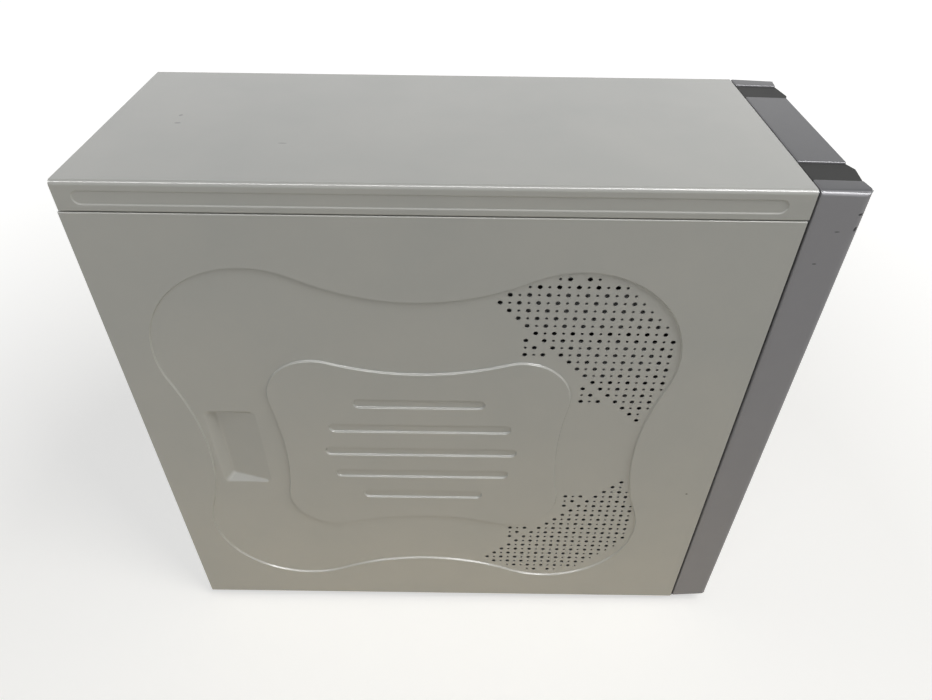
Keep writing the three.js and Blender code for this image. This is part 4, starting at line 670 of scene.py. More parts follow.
def edge_highlight_mask(group, given):
    """Where the surface turns sharply, for a painted highlight along the edges."""
    bevel = add_node(group, "Bevel", {"Radius": given["Reach"]}, samples=4)
    normal = add_node(group, "NewGeometry", {}).outputs["Normal"]
    turn = vector_node(group, "DOT_PRODUCT", "Value", bevel.outputs["Normal"], normal)
    turned = map_range(group, turn, 0.98, 0.8)
    broken = noise(group, given["Position"], 160.0, 4.0, 0.7)
    patches = map_range(group, broken, 0.48, 0.62)
    return [math_node(group, "MULTIPLY", turned, patches)]


def one_mark(group, given):
    """A small ragged mark at one place, from its middle and its half sizes."""
    apart = vector_node(group, "SUBTRACT", "Vector", given["Position"], given["Middle"])
    share = vector_node(group, "DIVIDE", "Vector", apart, given["Reach"])
    length = vector_node(group, "LENGTH", "Value", share)
    ragged = noise(group, given["Position"], 700.0, 3.0, 0.6)
    total = math_node(group, "ADD", length, ragged)
    return [map_range(group, total, 1.35, 1.55, 1.0, 0.0)]


def object_position(tree):
    return add_node(tree, "TexCoord", {}).outputs["Object"]


def upward(tree):
    """Share of a surface that faces up, where painted shade darkens it."""
    normal = add_node(tree, "NewGeometry", {}).outputs["Normal"]
    height = add_node(tree, "SeparateXYZ", {0: normal}).outputs["Z"]
    return map_range(tree, height, 0.5, 1.0)


def new_finish(name):
    material = bpy.data.materials.new(name)
    material.use_nodes = True
    tree = material.node_tree
    return material, tree, tree.nodes["Principled BSDF"]


PLACE = (0.0, 0.0, 0.0)
GREY = (0.5, 0.5, 0.5, 1.0)
MOTTLE = new_group(
    "slow mottle", {"Position": PLACE, "Colour": GREY, "Other": GREY, "Scale": 12.0},
    {"Colour": 4, "Mask": 1}, mottle)
GRAIN = new_group("fine grain", {"Position": PLACE, "Scale": 900.0}, {"Height": 1}, grain)
SPECKS = new_group(
    "rare specks", {"Position": PLACE, "Scale": 60.0, "Size": 0.05}, {"Mask": 1}, specks)
EDGE_HIGHLIGHT = new_group("painted edge highlight", {"Position": PLACE, "Reach": 0.001}, {"Mask": 1}, edge_highlight_mask)
MARK = new_group("one mark", {"Position": PLACE, "Middle": PLACE, "Reach": PLACE}, {"Mask": 1}, one_mark)


def coated_finish(
    name, colour, other, roughness, spread, metallic=0.0, grain_scale=900.0, grain_depth=0.00002,
    mottle_scale=12.0, speck=None, speck_scale=60.0, highlight_tone=None, coat=0.0, coat_roughness=0.25,
    specular=0.4, painted_top_shade=None, marks=(),
):
    """Paint, metal or plastic: mottled colour, fine grain, specks, marks, a painted highlight on sharp
    edges and painted shade on upward faces.
    """
    material, tree, shader = new_finish(name)
    position = object_position(tree)

    def placed_group(group, **values):
        return add_node(tree, "Group", {"Position": position, **values}, node_tree=group).outputs

    mottled = placed_group(MOTTLE, Colour=srgb(*colour), Other=srgb(*other), Scale=mottle_scale)
    result = mottled["Colour"]
    # Upward faces are mixed toward a darker grey: painted shade on the top.
    if painted_top_shade:
        result = mix_colour(tree, upward(tree), result, srgb(*painted_top_shade))
    layers = []
    # Sharp edges are mixed toward a lighter tone in broken patches: a painted highlight along the edges.
    if highlight_tone:
        layers.append((placed_group(EDGE_HIGHLIGHT, Reach=0.0007), highlight_tone))
    if speck:
        layers.append((placed_group(SPECKS, Scale=speck_scale, Size=0.02), speck))
    for middle, reach, tone in marks:
        layers.append((placed_group(MARK, Middle=middle, Reach=reach), tone))
    for outputs, tone in layers:
        result = mix_colour(tree, outputs["Mask"], result, srgb(*tone))
    height = placed_group(GRAIN, Scale=grain_scale)["Height"]
    bump = add_node(tree, "Bump", {"Strength": 1.0, "Distance": grain_depth, "Height": height})
    rough = map_range(tree, mottled["Mask"], 0.0, 1.0, roughness - spread, roughness + spread)
    set_inputs(tree, shader, {
        "Base Color": result, "Roughness": rough, "Normal": bump.outputs["Normal"], "Metallic": metallic,
        "Coat Weight": coat, "Coat Roughness": coat_roughness, "Specular IOR Level": specular})
    return material


# Nicks and scuffs: middle, half sizes, tone
BEZEL_MARKS = [
    ((-0.0893, -0.2274, 0.4078), (0.003, 0.0016, 0.0007), (62, 62, 64)),
    ((-0.0893, -0.2276, 0.3982), (0.003, 0.0010, 0.0016), (66, 66, 68)),
    ((-0.09, -0.2176, 0.3967), (0.001, 0.0016, 0.0004), (100, 100, 102)),
    ((-0.09, -0.2117, 0.3749), (0.001, 0.0013, 0.0004), (96, 96, 98)),
]
PANEL_MARKS = [
    ((-0.09, -0.1821, 0.1584), (0.001, 0.0010, 0.0007), (100, 96, 88)),
    ((0.005, 0.183, 0.4223), (0.0016, 0.0012, 0.001), (150, 148, 144)),
    ((-0.0076, 0.181, 0.4223), (0.0012, 0.0022, 0.001), (154, 152, 148)),
    ((-0.0366, 0.108, 0.4223), (0.0008, 0.003, 0.001), (156, 154, 150)),
]

PAINT = coated_finish(
    "light grey paint", (186, 185, 178), (181, 181, 175), 0.4, 0.04, grain_scale=1100.0,
    grain_depth=0.000012, speck=(120, 116, 108), speck_scale=45.0, coat=0.8, coat_roughness=0.13,
    marks=PANEL_MARKS)
STEEL = coated_finish(
    "zinc-plated steel", (176, 178, 180), (160, 163, 166), 0.38, 0.08, metallic=0.85,
    grain_scale=500.0, grain_depth=0.00001, mottle_scale=45.0)
# The silver gets painted shade on its upward faces and a painted highlight on its sharp edges.
SILVER = coated_finish(
    "silver-grey plastic", (156, 155, 158), (152, 151, 154), 0.42, 0.04, metallic=0.35,
    grain_scale=1600.0, grain_depth=0.000012, speck=(90, 90, 92), painted_top_shade=(74, 74, 77), coat=0.4,
    coat_roughness=0.2, marks=BEZEL_MARKS, highlight_tone=(196, 196, 198))
DARK = coated_finish(
    "dark grey plastic", (46, 46, 45), (42, 42, 41), 0.6, 0.05, specular=0.25, grain_scale=1400.0)
BLACK = coated_finish("black plastic", (34, 34, 36), (29, 29, 31), 0.5, 0.06, grain_scale=1200.0)
BOARD = coated_finish(
    "circuit board", (38, 92, 58), (30, 78, 48), 0.35, 0.06, grain_scale=700.0, mottle_scale=60.0)
ALUMINIUM = coated_finish(
    "bare aluminium", (205, 206, 208), (190, 192, 195), 0.32, 0.06, metallic=0.95,
    grain_scale=600.0, grain_depth=0.00001, mottle_scale=50.0)
RUBBER = coated_finish("dark rubber", (42, 42, 42), (36, 36, 36), 0.75, 0.06, grain_depth=0.00004)
GREEN_LENS = coated_finish("green lens", (70, 165, 90), (62, 150, 82), 0.2, 0.02)
AMBER_LENS = coated_finish("amber lens", (205, 140, 50), (195, 130, 45), 0.2, 0.02)
IVORY, BLUE, BROWN, GREEN, VIOLET, WINE, PINK = [
    coated_finish(name + " plastic", colour, other, roughness, 0.05, grain_scale=1300.0)
    for name, colour, other, roughness in (
        ("ivory", (214, 208, 190), (206, 199, 180), 0.45),
        ("blue", (42, 74, 140), (36, 66, 128), 0.42),
        ("brown", (98, 66, 42), (88, 58, 38), 0.45),
        ("green", (92, 160, 98), (84, 150, 90), 0.42),
        ("violet", (122, 96, 160), (112, 88, 150), 0.42),
        ("wine-red", (126, 48, 76), (116, 42, 68), 0.42),
        ("pink", (216, 140, 150), (206, 130, 140), 0.42),
    )]
RED, YELLOW, ORANGE = [
    coated_finish(name + " wire", colour, other, 0.4, 0.05, grain_scale=1500.0)
    for name, colour, other in (
        ("red", (176, 36, 32), (164, 32, 28)),
        ("yellow", (222, 186, 48), (212, 176, 42)),
        ("orange", (214, 112, 40), (204, 104, 36)),
    )]
COPPER = coated_finish(
    "copper winding", (176, 104, 62), (160, 92, 54), 0.4, 0.08, metallic=0.8, grain_scale=2400.0,
    grain_depth=0.00006)
GOLD = coated_finish("gilded contact", (206, 172, 96), (196, 160, 84), 0.32, 0.05, metallic=0.85)

FINISHES = {
    "painted_steel": PAINT,
    "bare_steel": STEEL,
    "silver_plastic": SILVER,
    "dark_plastic": DARK,
    "black_plastic": BLACK,
    "board": BOARD,
    "aluminium": ALUMINIUM,
    "rubber": RUBBER,
    "green_lens": GREEN_LENS,
    "amber_lens": AMBER_LENS,
}


# Small parts, in millimetres

def paint(verts, finish):
    for face in {face for vert in verts for face in vert.link_faces}:
        face.material_index = finish


def block(bm, low, high, finish=0):
    """A box between two corners."""
    low, high = Vector(low) * MM, Vector(high) * MM
    place = Matrix.Translation((low + high) / 2) @ Matrix.Diagonal((*(high - low), 1.0))
    verts = bmesh.ops.create_cube(bm, size=1.0, matrix=place)["verts"]
    paint(verts, finish)
    return verts


def rod(bm, start, end, radius, sides, finish=0, end_radius=None):
    """A round bar or cone between two points."""
    start, end = Vector(start) * MM, Vector(end) * MM
    along = end - start
    place = Matrix.Translation((start + end) / 2) @ along.to_track_quat("Z", "Y").to_matrix().to_4x4()
    verts = bmesh.ops.create_cone(
        bm, cap_ends=True, segments=sides, radius1=radius * MM, radius2=(end_radius or radius) * MM,
        depth=along.length, matrix=place)["verts"]
    paint(verts, finish)
    return verts


def pin(bm, x, z, front, back, radius, sides, finish=0, end_radius=None):
    """A round bar along Y."""
    return rod(bm, (x, front, z), (x, back, z), radius, sides, finish, end_radius)


def cross(bm, x, z, front, back, reach, half):
    """A screw's cross, in the second finish."""
    for wide, tall in ((reach, half), (half, reach)):
        block(bm, (x - wide, front, z - tall), (x + wide, back, z + tall), 1)


def ring(bm, middle, axis, radius, wire, steps=48):
    """A closed ring of round wire."""
    middle, axis = Vector(middle) * MM, Vector(axis)
    across = axis.orthogonal().normalized()
    section = (Matrix.Translation(middle + across * radius * MM)
               @ axis.cross(across).to_track_quat("Z", "Y").to_matrix().to_4x4())
    verts = bmesh.ops.create_circle(bm, segments=10, radius=wire / 2 * MM, matrix=section)["verts"]
    edges = list({edge for vert in verts for edge in vert.link_edges})
    bmesh.ops.spin(
        bm, geom=verts + edges, axis=axis, cent=middle, angle=TURN, steps=steps, use_merge=True)


def plate(bm, outlines, low, high):
    """A flat plate between two heights. Its holes are among the outlines."""
    edges = []
    for outline in outlines:
        edges += closed_loop(bm, [(a * MM, b * MM, low * MM) for a, b in outline])
    faces = only(bmesh.types.BMFace, fill(bm, edges, (0, 0, 1)))
    raised = bmesh.ops.extrude_face_region(bm, geom=faces)["geom"]
    verts = only(bmesh.types.BMVert, raised)
    bmesh.ops.translate(bm, verts=verts, vec=(0, 0, (high - low) * MM))


def circle(radius, sides, a=0.0, b=0.0):
    return arc(a, b, radius, 0, TURN, sides)[:-1]


def fittings(name, bm, body, finishes, width=0.25, nodes=()):
    """A finished set of small parts: closed shapes, softened edges, one finish each."""
    bmesh.ops.recalc_face_normals(bm, faces=bm.faces)
    piece = piece_of(name, bm, body, finishes, nodes)
    if width:
        soften(piece, width, 2, 40)
    settle(piece)


# Fans, made with the axis along Z and the blown side on top

def fan_frame(bm, size, depth):
    half = size / 2
    bore = circle(half - FAN_WALL, 56)
    far = half - FAN_SCREW_INSET
    screws = [circle(2.1, 14, a, b) for a in (-far, far) for b in (-far, far)]
    square = round_rect(-half, half, -half, half, 4, 5)
    plate(bm, [square, bore, *screws], 0, FAN_FLANGE)
    plate(bm, [square, bore, *screws], depth - FAN_FLANGE, depth)
    plate(bm, [circle(half - 0.1, 56), bore], FAN_FLANGE, depth - FAN_FLANGE)
    reach = half - FAN_WALL / 2
    for turn in (0, 1):
        arm = block(bm, (-reach, -STRUT_HALF, depth - STRUT), (reach, STRUT_HALF, depth))
        bmesh.ops.rotate(bm, verts=arm, matrix=Matrix.Rotation(turn * QUARTER, 3, "Z"))
    rod(bm, (0, 0, depth - STRUT), (0, 0, depth), size * MOTOR_SHARE, 40)


def fan_rotor(bm, size, depth):
    hub = size * MOTOR_SHARE
    low, high = 0.8, depth - STRUT - 0.3
    corner = 2
    rounding = arc(hub - corner, low + corner, corner, -QUARTER, 0, 4)[1:]
    profile = [(0, low), (hub - corner, low), *rounding, (hub, high), (0, high)]
    verts = [bm.verts.new((a * MM, 0, b * MM)) for a, b in profile]
    edges = [bm.edges.new(pair) for pair in zip(verts, verts[1:])]
    bmesh.ops.spin(bm, geom=verts + edges, axis=(0, 0, 1), angle=TURN, steps=40, use_merge=True)
    bmesh.ops.remove_doubles(bm, verts=bm.verts, dist=1e-6)
    sweep_angle = TURN / BLADES * BLADE_SWEEP
    root = hub * 0.9
    climb = high - low - 2 * corner - BLADE_THICKNESS
    tip = size / 2 - TIP_GAP
    for blade in range(BLADES):
        line = []
        for i in range(6):
            share = i / 5
            radius = root + (tip - root) * share
            turn = blade * TURN / BLADES - BLADE_LEAN * share ** 2
            place = (radius * math.cos(turn) * MM, radius * math.sin(turn) * MM, (low + corner) * MM)
            line.append(bm.verts.new(place))
        start = [bm.edges.new(pair) for pair in zip(line, line[1:])]
        before = set(bm.faces)
        bmesh.ops.spin(bm, geom=line + start, axis=(0, 0, 1), angle=sweep_angle, steps=8,
                       dvec=(0, 0, climb / 8 * MM))
        sheet = list(set(bm.faces) - before)
        bmesh.ops.recalc_face_normals(bm, faces=sheet)
        bmesh.ops.solidify(bm, geom=sheet, thickness=BLADE_THICKNESS * MM)


def fan(name, turn, axis):
    """Both pieces of a fan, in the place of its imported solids."""
    low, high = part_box(name + "_frame")
    sizes = (high - low) / MM
    depth = min(sizes)
    size = max(sizes)
    middle = (low + high) / 2
    middle[axis] = low[axis]
    place = Matrix.Translation(middle) @ turn
    for part, make in (("frame", fan_frame), ("rotor", fan_rotor)):
        node = name + "_" + part
        bm = bmesh.new()
        make(bm, size, depth)
        bmesh.ops.transform(bm, matrix=place, verts=bm.verts)
        fittings(node + "_finished", bm, NODES[node]["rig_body"], [BLACK], 0.2, [node])


def wire_guard():
    """The supply fan's guard: four rings, two bars, four eyes with their screws."""
    low, high = box_mm("supply_fan_guard")
    x, y, z = (low + high) / 2
    wire = 1.6
    outer = (high.x - low.x) / 2 - wire / 2
    far = 40 - FAN_SCREW_INSET
    bm = bmesh.new()
    for share in (1.0, 0.76, 0.52, 0.28):
        ring(bm, (x, y, z), (0, 1, 0), outer * share, wire)
    for side in (-1, 1):
        rod(bm, (x - far, y - 0.4, z - side * far), (x + far, y - 0.4, z + side * far), wire / 2, 12)
        for end in (-1, 1):
            a, b = x + end * far, z + end * side * far
            ring(bm, (a, y - 0.2, b), (0, 1, 0), 3.0, wire, steps=20)
            pin(bm, a, b, y - 1, y + 1.4, 3.6, 20, 1, 2.9)
            pin(bm, a, b, y + 1.3, y + 1.45, 1.3, 4, 2)
    finishes = [ALUMINIUM, STEEL, BLACK]
    fittings("supply_fan_guard_wires", bm, "chassis", finishes, 0, ["supply_fan_guard"])


def thumbscrew(node):
    """A knurled head on a collar, with a cross cut in its end."""
    low, high = box_mm(node)
    x, z = (low.x + high.x) / 2, (low.z + high.z) / 2
    radius = (high.x - low.x) / 2
    neck = low.y + 2.4
    shoulder = high.y - 0.4
    ribs = 48
    bm = bmesh.new()
    pin(bm, x, z, low.y, neck, 2.0, 20)
    pin(bm, x, z, neck, neck + 0.8, radius - 1.4, 32)
    head = pin(bm, x, z, neck + 0.7, shoulder, radius, ribs)
    middle = Vector((x * MM, 0, z * MM))
    for vert in head:
        out = Vector((vert.co.x, 0, vert.co.z)) - middle
        if round(math.atan2(out.z, out.x) / TURN * ribs) % 2:
            vert.co -= out * 0.07
    pin(bm, x, z, shoulder, high.y, radius - 0.5, 32, 0, radius - 1.2)
    cross(bm, x, z, high.y - 0.3, high.y + 0.02, 2.6, 0.45)
    fittings(node + "_turned", bm, NODES[node]["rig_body"], [ALUMINIUM, BLACK], 0, [node])


# Main board and cards

def push_in(bm, faces, rim, depth):
    """Sinks the middle of some faces."""
    even = {"use_even_offset": True, "use_boundary": True}
    bmesh.ops.inset_region(bm, faces=faces, thickness=rim * MM, **even)
    bmesh.ops.inset_region(bm, faces=faces, thickness=0.02 * MM, depth=-depth * MM, **even)


def main_board():
    """The board: connectors with sunk mouths in their colours, and its small parts."""
    low, high = box_mm("main_board")
    face = high.x - BOARD_THICKNESS
    foot = high.z - BOARD_HEIGHT

    def kind(part):
        """0 board, 1 black, 2 ivory, 3 blue, 4 aluminium, 5 brown."""
        middle = part.calc_center_median() / MM
        ahead, down = middle.y - low.y, high.z - middle.z
        if middle.x > face - 0.2:
            return 0
        if ahead < 13:
            return 3 if down > 198 else 2
        if ahead > 60 and down < 34:
            return 4 if part.normal.x < -0.9 else 3
        if ahead < 38:
            return 1
        if down > 165:
            return 5 if down < 180 else 2
        return 4 if down > 130 else 2

    def shape(bm):
        for vert in bm.verts:
            if vert.co.z < foot * MM:
                vert.co.z = (foot + 1) * MM
        left = {
            part for part in bm.faces
            if part.normal.x < -0.9 and kind(part) in (1, 2, 3, 5)
            and part.calc_center_median().x / MM < face - 5}
        while left:
            patch = {left.pop()}
            edge = list(patch)
            while edge:
                near = {other for line in edge.pop().edges for other in line.link_faces} & left
                left -= near
                patch |= near
                edge += near
            push_in(bm, list(patch), 2.1, 5)

    refined("main_board", 0.25, 2, 35, [BLACK, IVORY, BLUE, ALUMINIUM, BROWN], kind, shape)
    board_details(low, high, face)


def board_details(low, high, face):
    """Small parts on the board: regulators, cans, chips, a coin cell, headers and screws."""
    bm = bmesh.new()

    def chip(ahead, down, length, height, rise, finish=0):
        middle = Vector((face, low.y + ahead, high.z - down))
        half = Vector((0, length / 2, height / 2))
        block(bm, middle - half - Vector((rise, 0, 0)), middle + half + Vector((0.2, 0, 0)), finish)

    def can(ahead, down, radius, rise, finish=2, top=1):
        y, z = low.y + ahead, high.z - down
        rod(bm, (face + 0.2, y, z), (face - rise, y, z), radius, 18, finish)
        rod(bm, (face - rise, y, z), (face - rise - 0.2, y, z), radius * 0.82, 18, top)

    for i in range(4):
        chip(71 + 16 * i, 14, 10, 8, 4.4)
        chip(71 + 16 * i, 8.5, 10, 3, 1.6, 1)
    for i in range(9):
        can(47, 20 + 15 * i, 2.6, 7.5)
    for i in range(5):
        can(157, 168 + 15 * i, 3.2, 8.5)
        can(57, 168 + 15 * i, 2.4, 6.5)
    for i in range(3):
        y, z = low.y + 150 + 14 * i, high.z - 24
        rod(bm, (face + 0.2, y, z), (face - 7, y, z), 5.4, 24, 3)
    can(176, 180, 10, 3.4, 1, 1)
    chip(26, 214, 14, 20, 1.8)
    chip(40, 236, 14, 11, 3.6)
    chip(182, 226, 8, 8, 1.4)
    chip(178, 205, 5, 12, 3.4, 1)
    chip(46, 158, 5, 11, 3.4, 1)
    chip(30, 164, 10, 10, 1.6)
    for column in range(18):
        for row in (0, 1):
            chip(54 + 3.2 * column, 122 + 3.0 * row, 1.9, 1.2, 0.9, 4 if (column + row) % 3 else 0)
    for row in range(12):
        chip(150, 60 + 4 * row, 1.2, 2.0, 0.9, 4 if row % 2 else 0)
    chip(13, 236, 22, 5.4, 2.4)
    for i in range(8):
        for step in (-1.27, 1.27):
            chip(13 + (i - 3.5) * 2.54, 236 + step, 0.7, 0.7, 8.2, 5)
    for ahead in (6, 100, 194):
        for down in (6, 160, 238):
            if (ahead, down) != (6, 160):
                can(ahead, down, 3.1, 1.2, 1, 1)
    finishes = [BLACK, STEEL, BLUE, COPPER, IVORY, GOLD]
    fittings("board_details", bm, "chassis", finishes, 0.12)


def memory_module():
    """The module with its chips, its contacts reaching down into the socket."""
    low, high = box_mm("memory_module")

    def reach_down(bm):
        for vert in bm.verts:
            if vert.co.x > (high.x - 1) * MM:
                vert.co.x += 5 * MM

    def kind(part):
        middle = part.calc_center_median() / MM
        is_chip = middle.y < low.y + 0.9 and middle.x < min(high.x - 5, low.x + 18)
        return 1 if is_chip and part.calc_area() < 2e-4 else 0

    refined("memory_module", 0.12, 1, 35, [BLACK], kind, reach_down)


def graphics_card():
    """The card, its bracket, connector and cooler, and its small parts."""
    low, high = box_mm("graphics_card")
    z = (low.z + high.z) / 2
    edge = high.x - 3.6
    middle_x = edge - 48
    bracket = 224.7
    middle_y = bracket - 84

    def kind(part):
        """0 board, 1 steel, 2 blue, 3 aluminium."""
        middle = part.calc_center_median() / MM
        across = abs(middle.x - middle_x)
        rise = abs(middle.z - z)
        if middle.y > bracket - 0.1 or middle.x < low.x + 1:
            return 2 if across < 15.4 and middle.y > bracket + 1.2 else 1
        if middle.y > bracket - 11 and across < 15.4 and 1.2 < rise < 4.7:
            return 1
        if middle.z < z - 1 and across < 18.4 and abs(middle.y - middle_y) < 18.4:
            return 3
        return 0

    refined("graphics_card", 0.15, 1, 35, [STEEL, BLUE, ALUMINIUM], kind)
    bm = bmesh.new()
    face = z - 0.8

    def chip(x0, x1, y0, y1, rise, finish=0):
        low_corner = (middle_x + x0, middle_y + y0, face - rise)
        block(bm, low_corner, (middle_x + x1, middle_y + y1, face + 0.2), finish)

    for i in range(9):
        x = middle_x + (i - 4) * 4.2
        block(bm, (x - 0.5, middle_y - 17.4, face - 7.8), (x + 0.5, middle_y + 17.4, face - 6.8), 1)
    for side in (-1, 1):
        for i in range(2):
            y = 22 * i - 44
            chip(side * 22 - 6, side * 22 + 6, y - 9, y + 9, 1.3)
        for i in range(4):
            x, y = middle_x + side * 30, middle_y - 20 + 14 * i
            rod(bm, (x, y, face + 0.2), (x, y, face - 6.5), 2.6, 18, 2)
    for i in range(14):
        y = 5 * i - 30
        chip(36, 37.4, y, y + 2.2, 0.9, 3)
    block(bm, (edge - 1, middle_y - 42, face), (edge + 5.5, middle_y + 30, face + 1.5), 4)
    for column in range(5):
        for row in range(3):
            x, rise = middle_x + (column - 2) * 4.4, z + (row - 1) * 2.2
            pin(bm, x, rise, high.y - 1, high.y + 0.05, 0.65, 10)
    for side in (-1, 1):
        pin(bm, middle_x + side * 12.6, z, high.y - 1, high.y + 1.0, 2.5, 6, 1)
    fittings("card_details", bm, "chassis", [BLACK, ALUMINIUM, BLUE, IVORY, GOLD], 0.12)


def front_fittings():
    """Socket, wheel, lamp and pinhole on the optical drive's face, and the floppy drive's lamp."""
    low = box_mm("optical_drive_face")[0]
    face = low.y - FACE_SHIFT / MM
    z = low.z + 10.5
    bm = bmesh.new()
    pin(bm, -58, z, face + 1, face - 0.5, 3.1, 28)
    pin(bm, -58, z, face + 1, face - 0.55, 1.7, 20, 1)
    for i in range(9):
        block(bm, (-47 + i * 1.2, face - 0.9, z - 2.2), (-46.3 + i * 1.2, face + 1, z + 2.2), 1)
    block(bm, (28, face - 0.4, z - 1.1), (33, face + 1, z + 1.1), 2)
    pin(bm, 10, z, face + 1, face - 0.03, 0.7, 12, 1)
    low = box_mm("floppy_drive_face")[0]
    face = low.y - FACE_SHIFT / MM
    block(bm, (-40, face - 0.4, low.z + 4.6), (-35, face + 1, low.z + 6.8), 3)
    finishes = [SILVER, BLACK, AMBER_LENS, GREEN_LENS]
    fittings("front_fittings", bm, "chassis", finishes, 0.2)


def rear_screws():
    """Screws that hold the power supply and the fan to the rear panel."""
    low, high = box_mm("supply_case")
    places = [(x, z) for x in (low.x + 8, low.x + 45) for z in (low.z + 5, high.z - 5)]
    low, high = box_mm("case_fan_frame")
    far = FAN_SCREW_INSET
    places += [(x, z) for x in (low.x + far, high.x - far) for z in (low.z + far, high.z - far)]
    back = box_mm("rear_panel")[1].y
    bm = bmesh.new()
    for x, z in places:
        pin(bm, x, z, back - 1.5, back + 0.7, 3.5, 24, 0, 3.2)
        pin(bm, x, z, back + 0.6, back + 1.3, 3.2, 24, 0, 2.0)
        cross(bm, x, z, back + 1.0, back + 1.33, 1.7, 0.35)
    fittings("rear_screws", bm, "chassis", [STEEL, BLACK], 0)


# Heights of the rear connectors' middles
ROUND_PORTS = 311.2
FLAT_PORTS = 287.4
NETWORK_PORT = 247.7
WIDE_PORT = 214.4
SOUND_PORTS = 182.6
FLAT_PITCH = 7.4
PORT_RIM = 1.4


def port_fittings():
    """What shows in the mouths of the rear connectors."""
    high = box_mm("rear_ports")[1]
    edge = high.x
    back = high.y - 3.5
    floor = high.y - 9
    bm = bmesh.new()

    def bar(x0, x1, z0, z1, start, end, finish):
        """A block measured from the connectors' right edge and from their sunk backs."""
        block(bm, (edge - x0, back + start, z0), (edge - x1, back + end, z1), finish)

    def insert(z, wide, tall, finish=0):
        half = tall / 2 - PORT_RIM
        bar(wide - PORT_RIM, PORT_RIM, z - half, z + half, floor - back, 0, finish)

    def flat_socket(z):
        bar(10.4, 2.4, z + 0.2, z + 2.0, -1, 1.8, 5)
        bar(11.0, 1.8, z - 3.1, z - 2.7, -1, 2.6, 6)

    # Two round sockets
    z = ROUND_PORTS
    insert(z, 26, 13.5)
    for x, finish in ((edge - 7.3, 1), (edge - 18.7, 2)):
        pin(bm, x, z, floor, back + 2.4, 4.9, 28, finish)
        pin(bm, x, z, back, back + 2.45, 3.9, 28)
        for turn in range(6):
            a, b = 2.4 * math.cos(turn * 1.05), 2.4 * math.sin(turn * 1.05)
            pin(bm, x + a, z + b, back, back + 2.5, 0.45, 8, 6)
    # Four flat sockets, one above another
    z = FLAT_PORTS
    insert(z, 12.6, 31.75)
    for i in range(4):
        flat_socket(z + (i - 1.5) * FLAT_PITCH)
    # A network socket over two more flat sockets
    z = NETWORK_PORT
    insert(z, 12.6, 31.75)
    bar(11.0, 1.6, z + 1.2, z + 14.2, -1, 2.2, 6)
    bar(10.2, 2.4, z + 2.4, z + 13.2, 0, 2.3, 0)
    for i in range(8):
        bar(9.3 - i, 8.9 - i, z + 11.4, z + 13.0, 0, 2.4, 7)
    for i in range(2):
        flat_socket(z - 4.2 - i * FLAT_PITCH)
    # A wide connector with two rows of pin holes
    z = WIDE_PORT
    insert(z, 30.2, 15.1, 3)
    bar(26.4, 3.8, z - 4.2, z + 4.2, -1, 3.2, 3)
    for column in range(10):
        for row in (0, 1):
            x = edge - 24.6 + column * 2.1 + row * 1.0
            pin(bm, x, z - 1.4 + row * 2.8, back, back + 3.25, 0.55, 8)
    # Three round sockets for sound
    z = SOUND_PORTS
    insert(z, 12.6, 31.75)
    for rise, finish in ((9.6, 4), (0, 2), (-9.6, 8)):
        pin(bm, edge - 6.4, z + rise, floor, back + 2.8, 4.0, 28, finish)
        pin(bm, edge - 6.4, z + rise, back, back + 2.85, 1.9, 20)
    finishes = [BLACK, VIOLET, GREEN, WINE, BLUE, IVORY, STEEL, GOLD, PINK]
    fittings("port_fittings", bm, "chassis", finishes, 0.12)


# Cables inside the case: bundles of thin wires, each with its plug

WIRE_TWIST = 0.55


def wires(name, node, route, colours, radius, spread, fan_out, plug):
    """A bundle of round wires along a route, twisted together, which spread out at the plug."""
    route = [Vector(point) for point in route]
    bm = bmesh.new()
    for k, finish in enumerate(colours):
        data = bpy.data.curves.new(name, "CURVE")
        data.dimensions = "3D"
        data.bevel_depth = radius * MM
        data.bevel_resolution = 2
        data.resolution_u = 10
        data.use_fill_caps = True
        spline = data.splines.new("BEZIER")
        spline.bezier_points.add(len(route) - 1)
        for i, point in enumerate(spline.bezier_points):
            along = route[min(i + 1, len(route) - 1)] - route[max(i - 1, 0)]
            side = along.cross(Vector((0.3, 0.5, 0.81))).normalized()
            up = along.cross(side).normalized()
            turn = TURN * k / len(colours) + WIRE_TWIST * i
            offset = (side * math.cos(turn) + up * math.sin(turn)) * spread
            if i >= len(route) - 2:
                offset = Vector(fan_out) * (k - (len(colours) - 1) / 2)
            point.co = (route[i] + offset) * MM
            point.handle_left_type = point.handle_right_type = "AUTO"
        wire = linked(name, data)
        graph = bpy.context.evaluated_depsgraph_get()
        mesh = bpy.data.meshes.new_from_object(wire.evaluated_get(graph))
        bpy.data.objects.remove(wire)
        before = set(bm.faces)
        bm.from_mesh(mesh)
        for face in set(bm.faces) - before:
            face.material_index = finish
    block(bm, *plug, 4)
    bmesh.ops.remove_doubles(bm, verts=bm.verts, dist=1e-7)
    bmesh.ops.recalc_face_normals(bm, faces=bm.faces)
    finishes = [BLACK, RED, YELLOW, ORANGE, IVORY]
    settle(piece_of(name, bm, "chassis", finishes, [node]), 50)


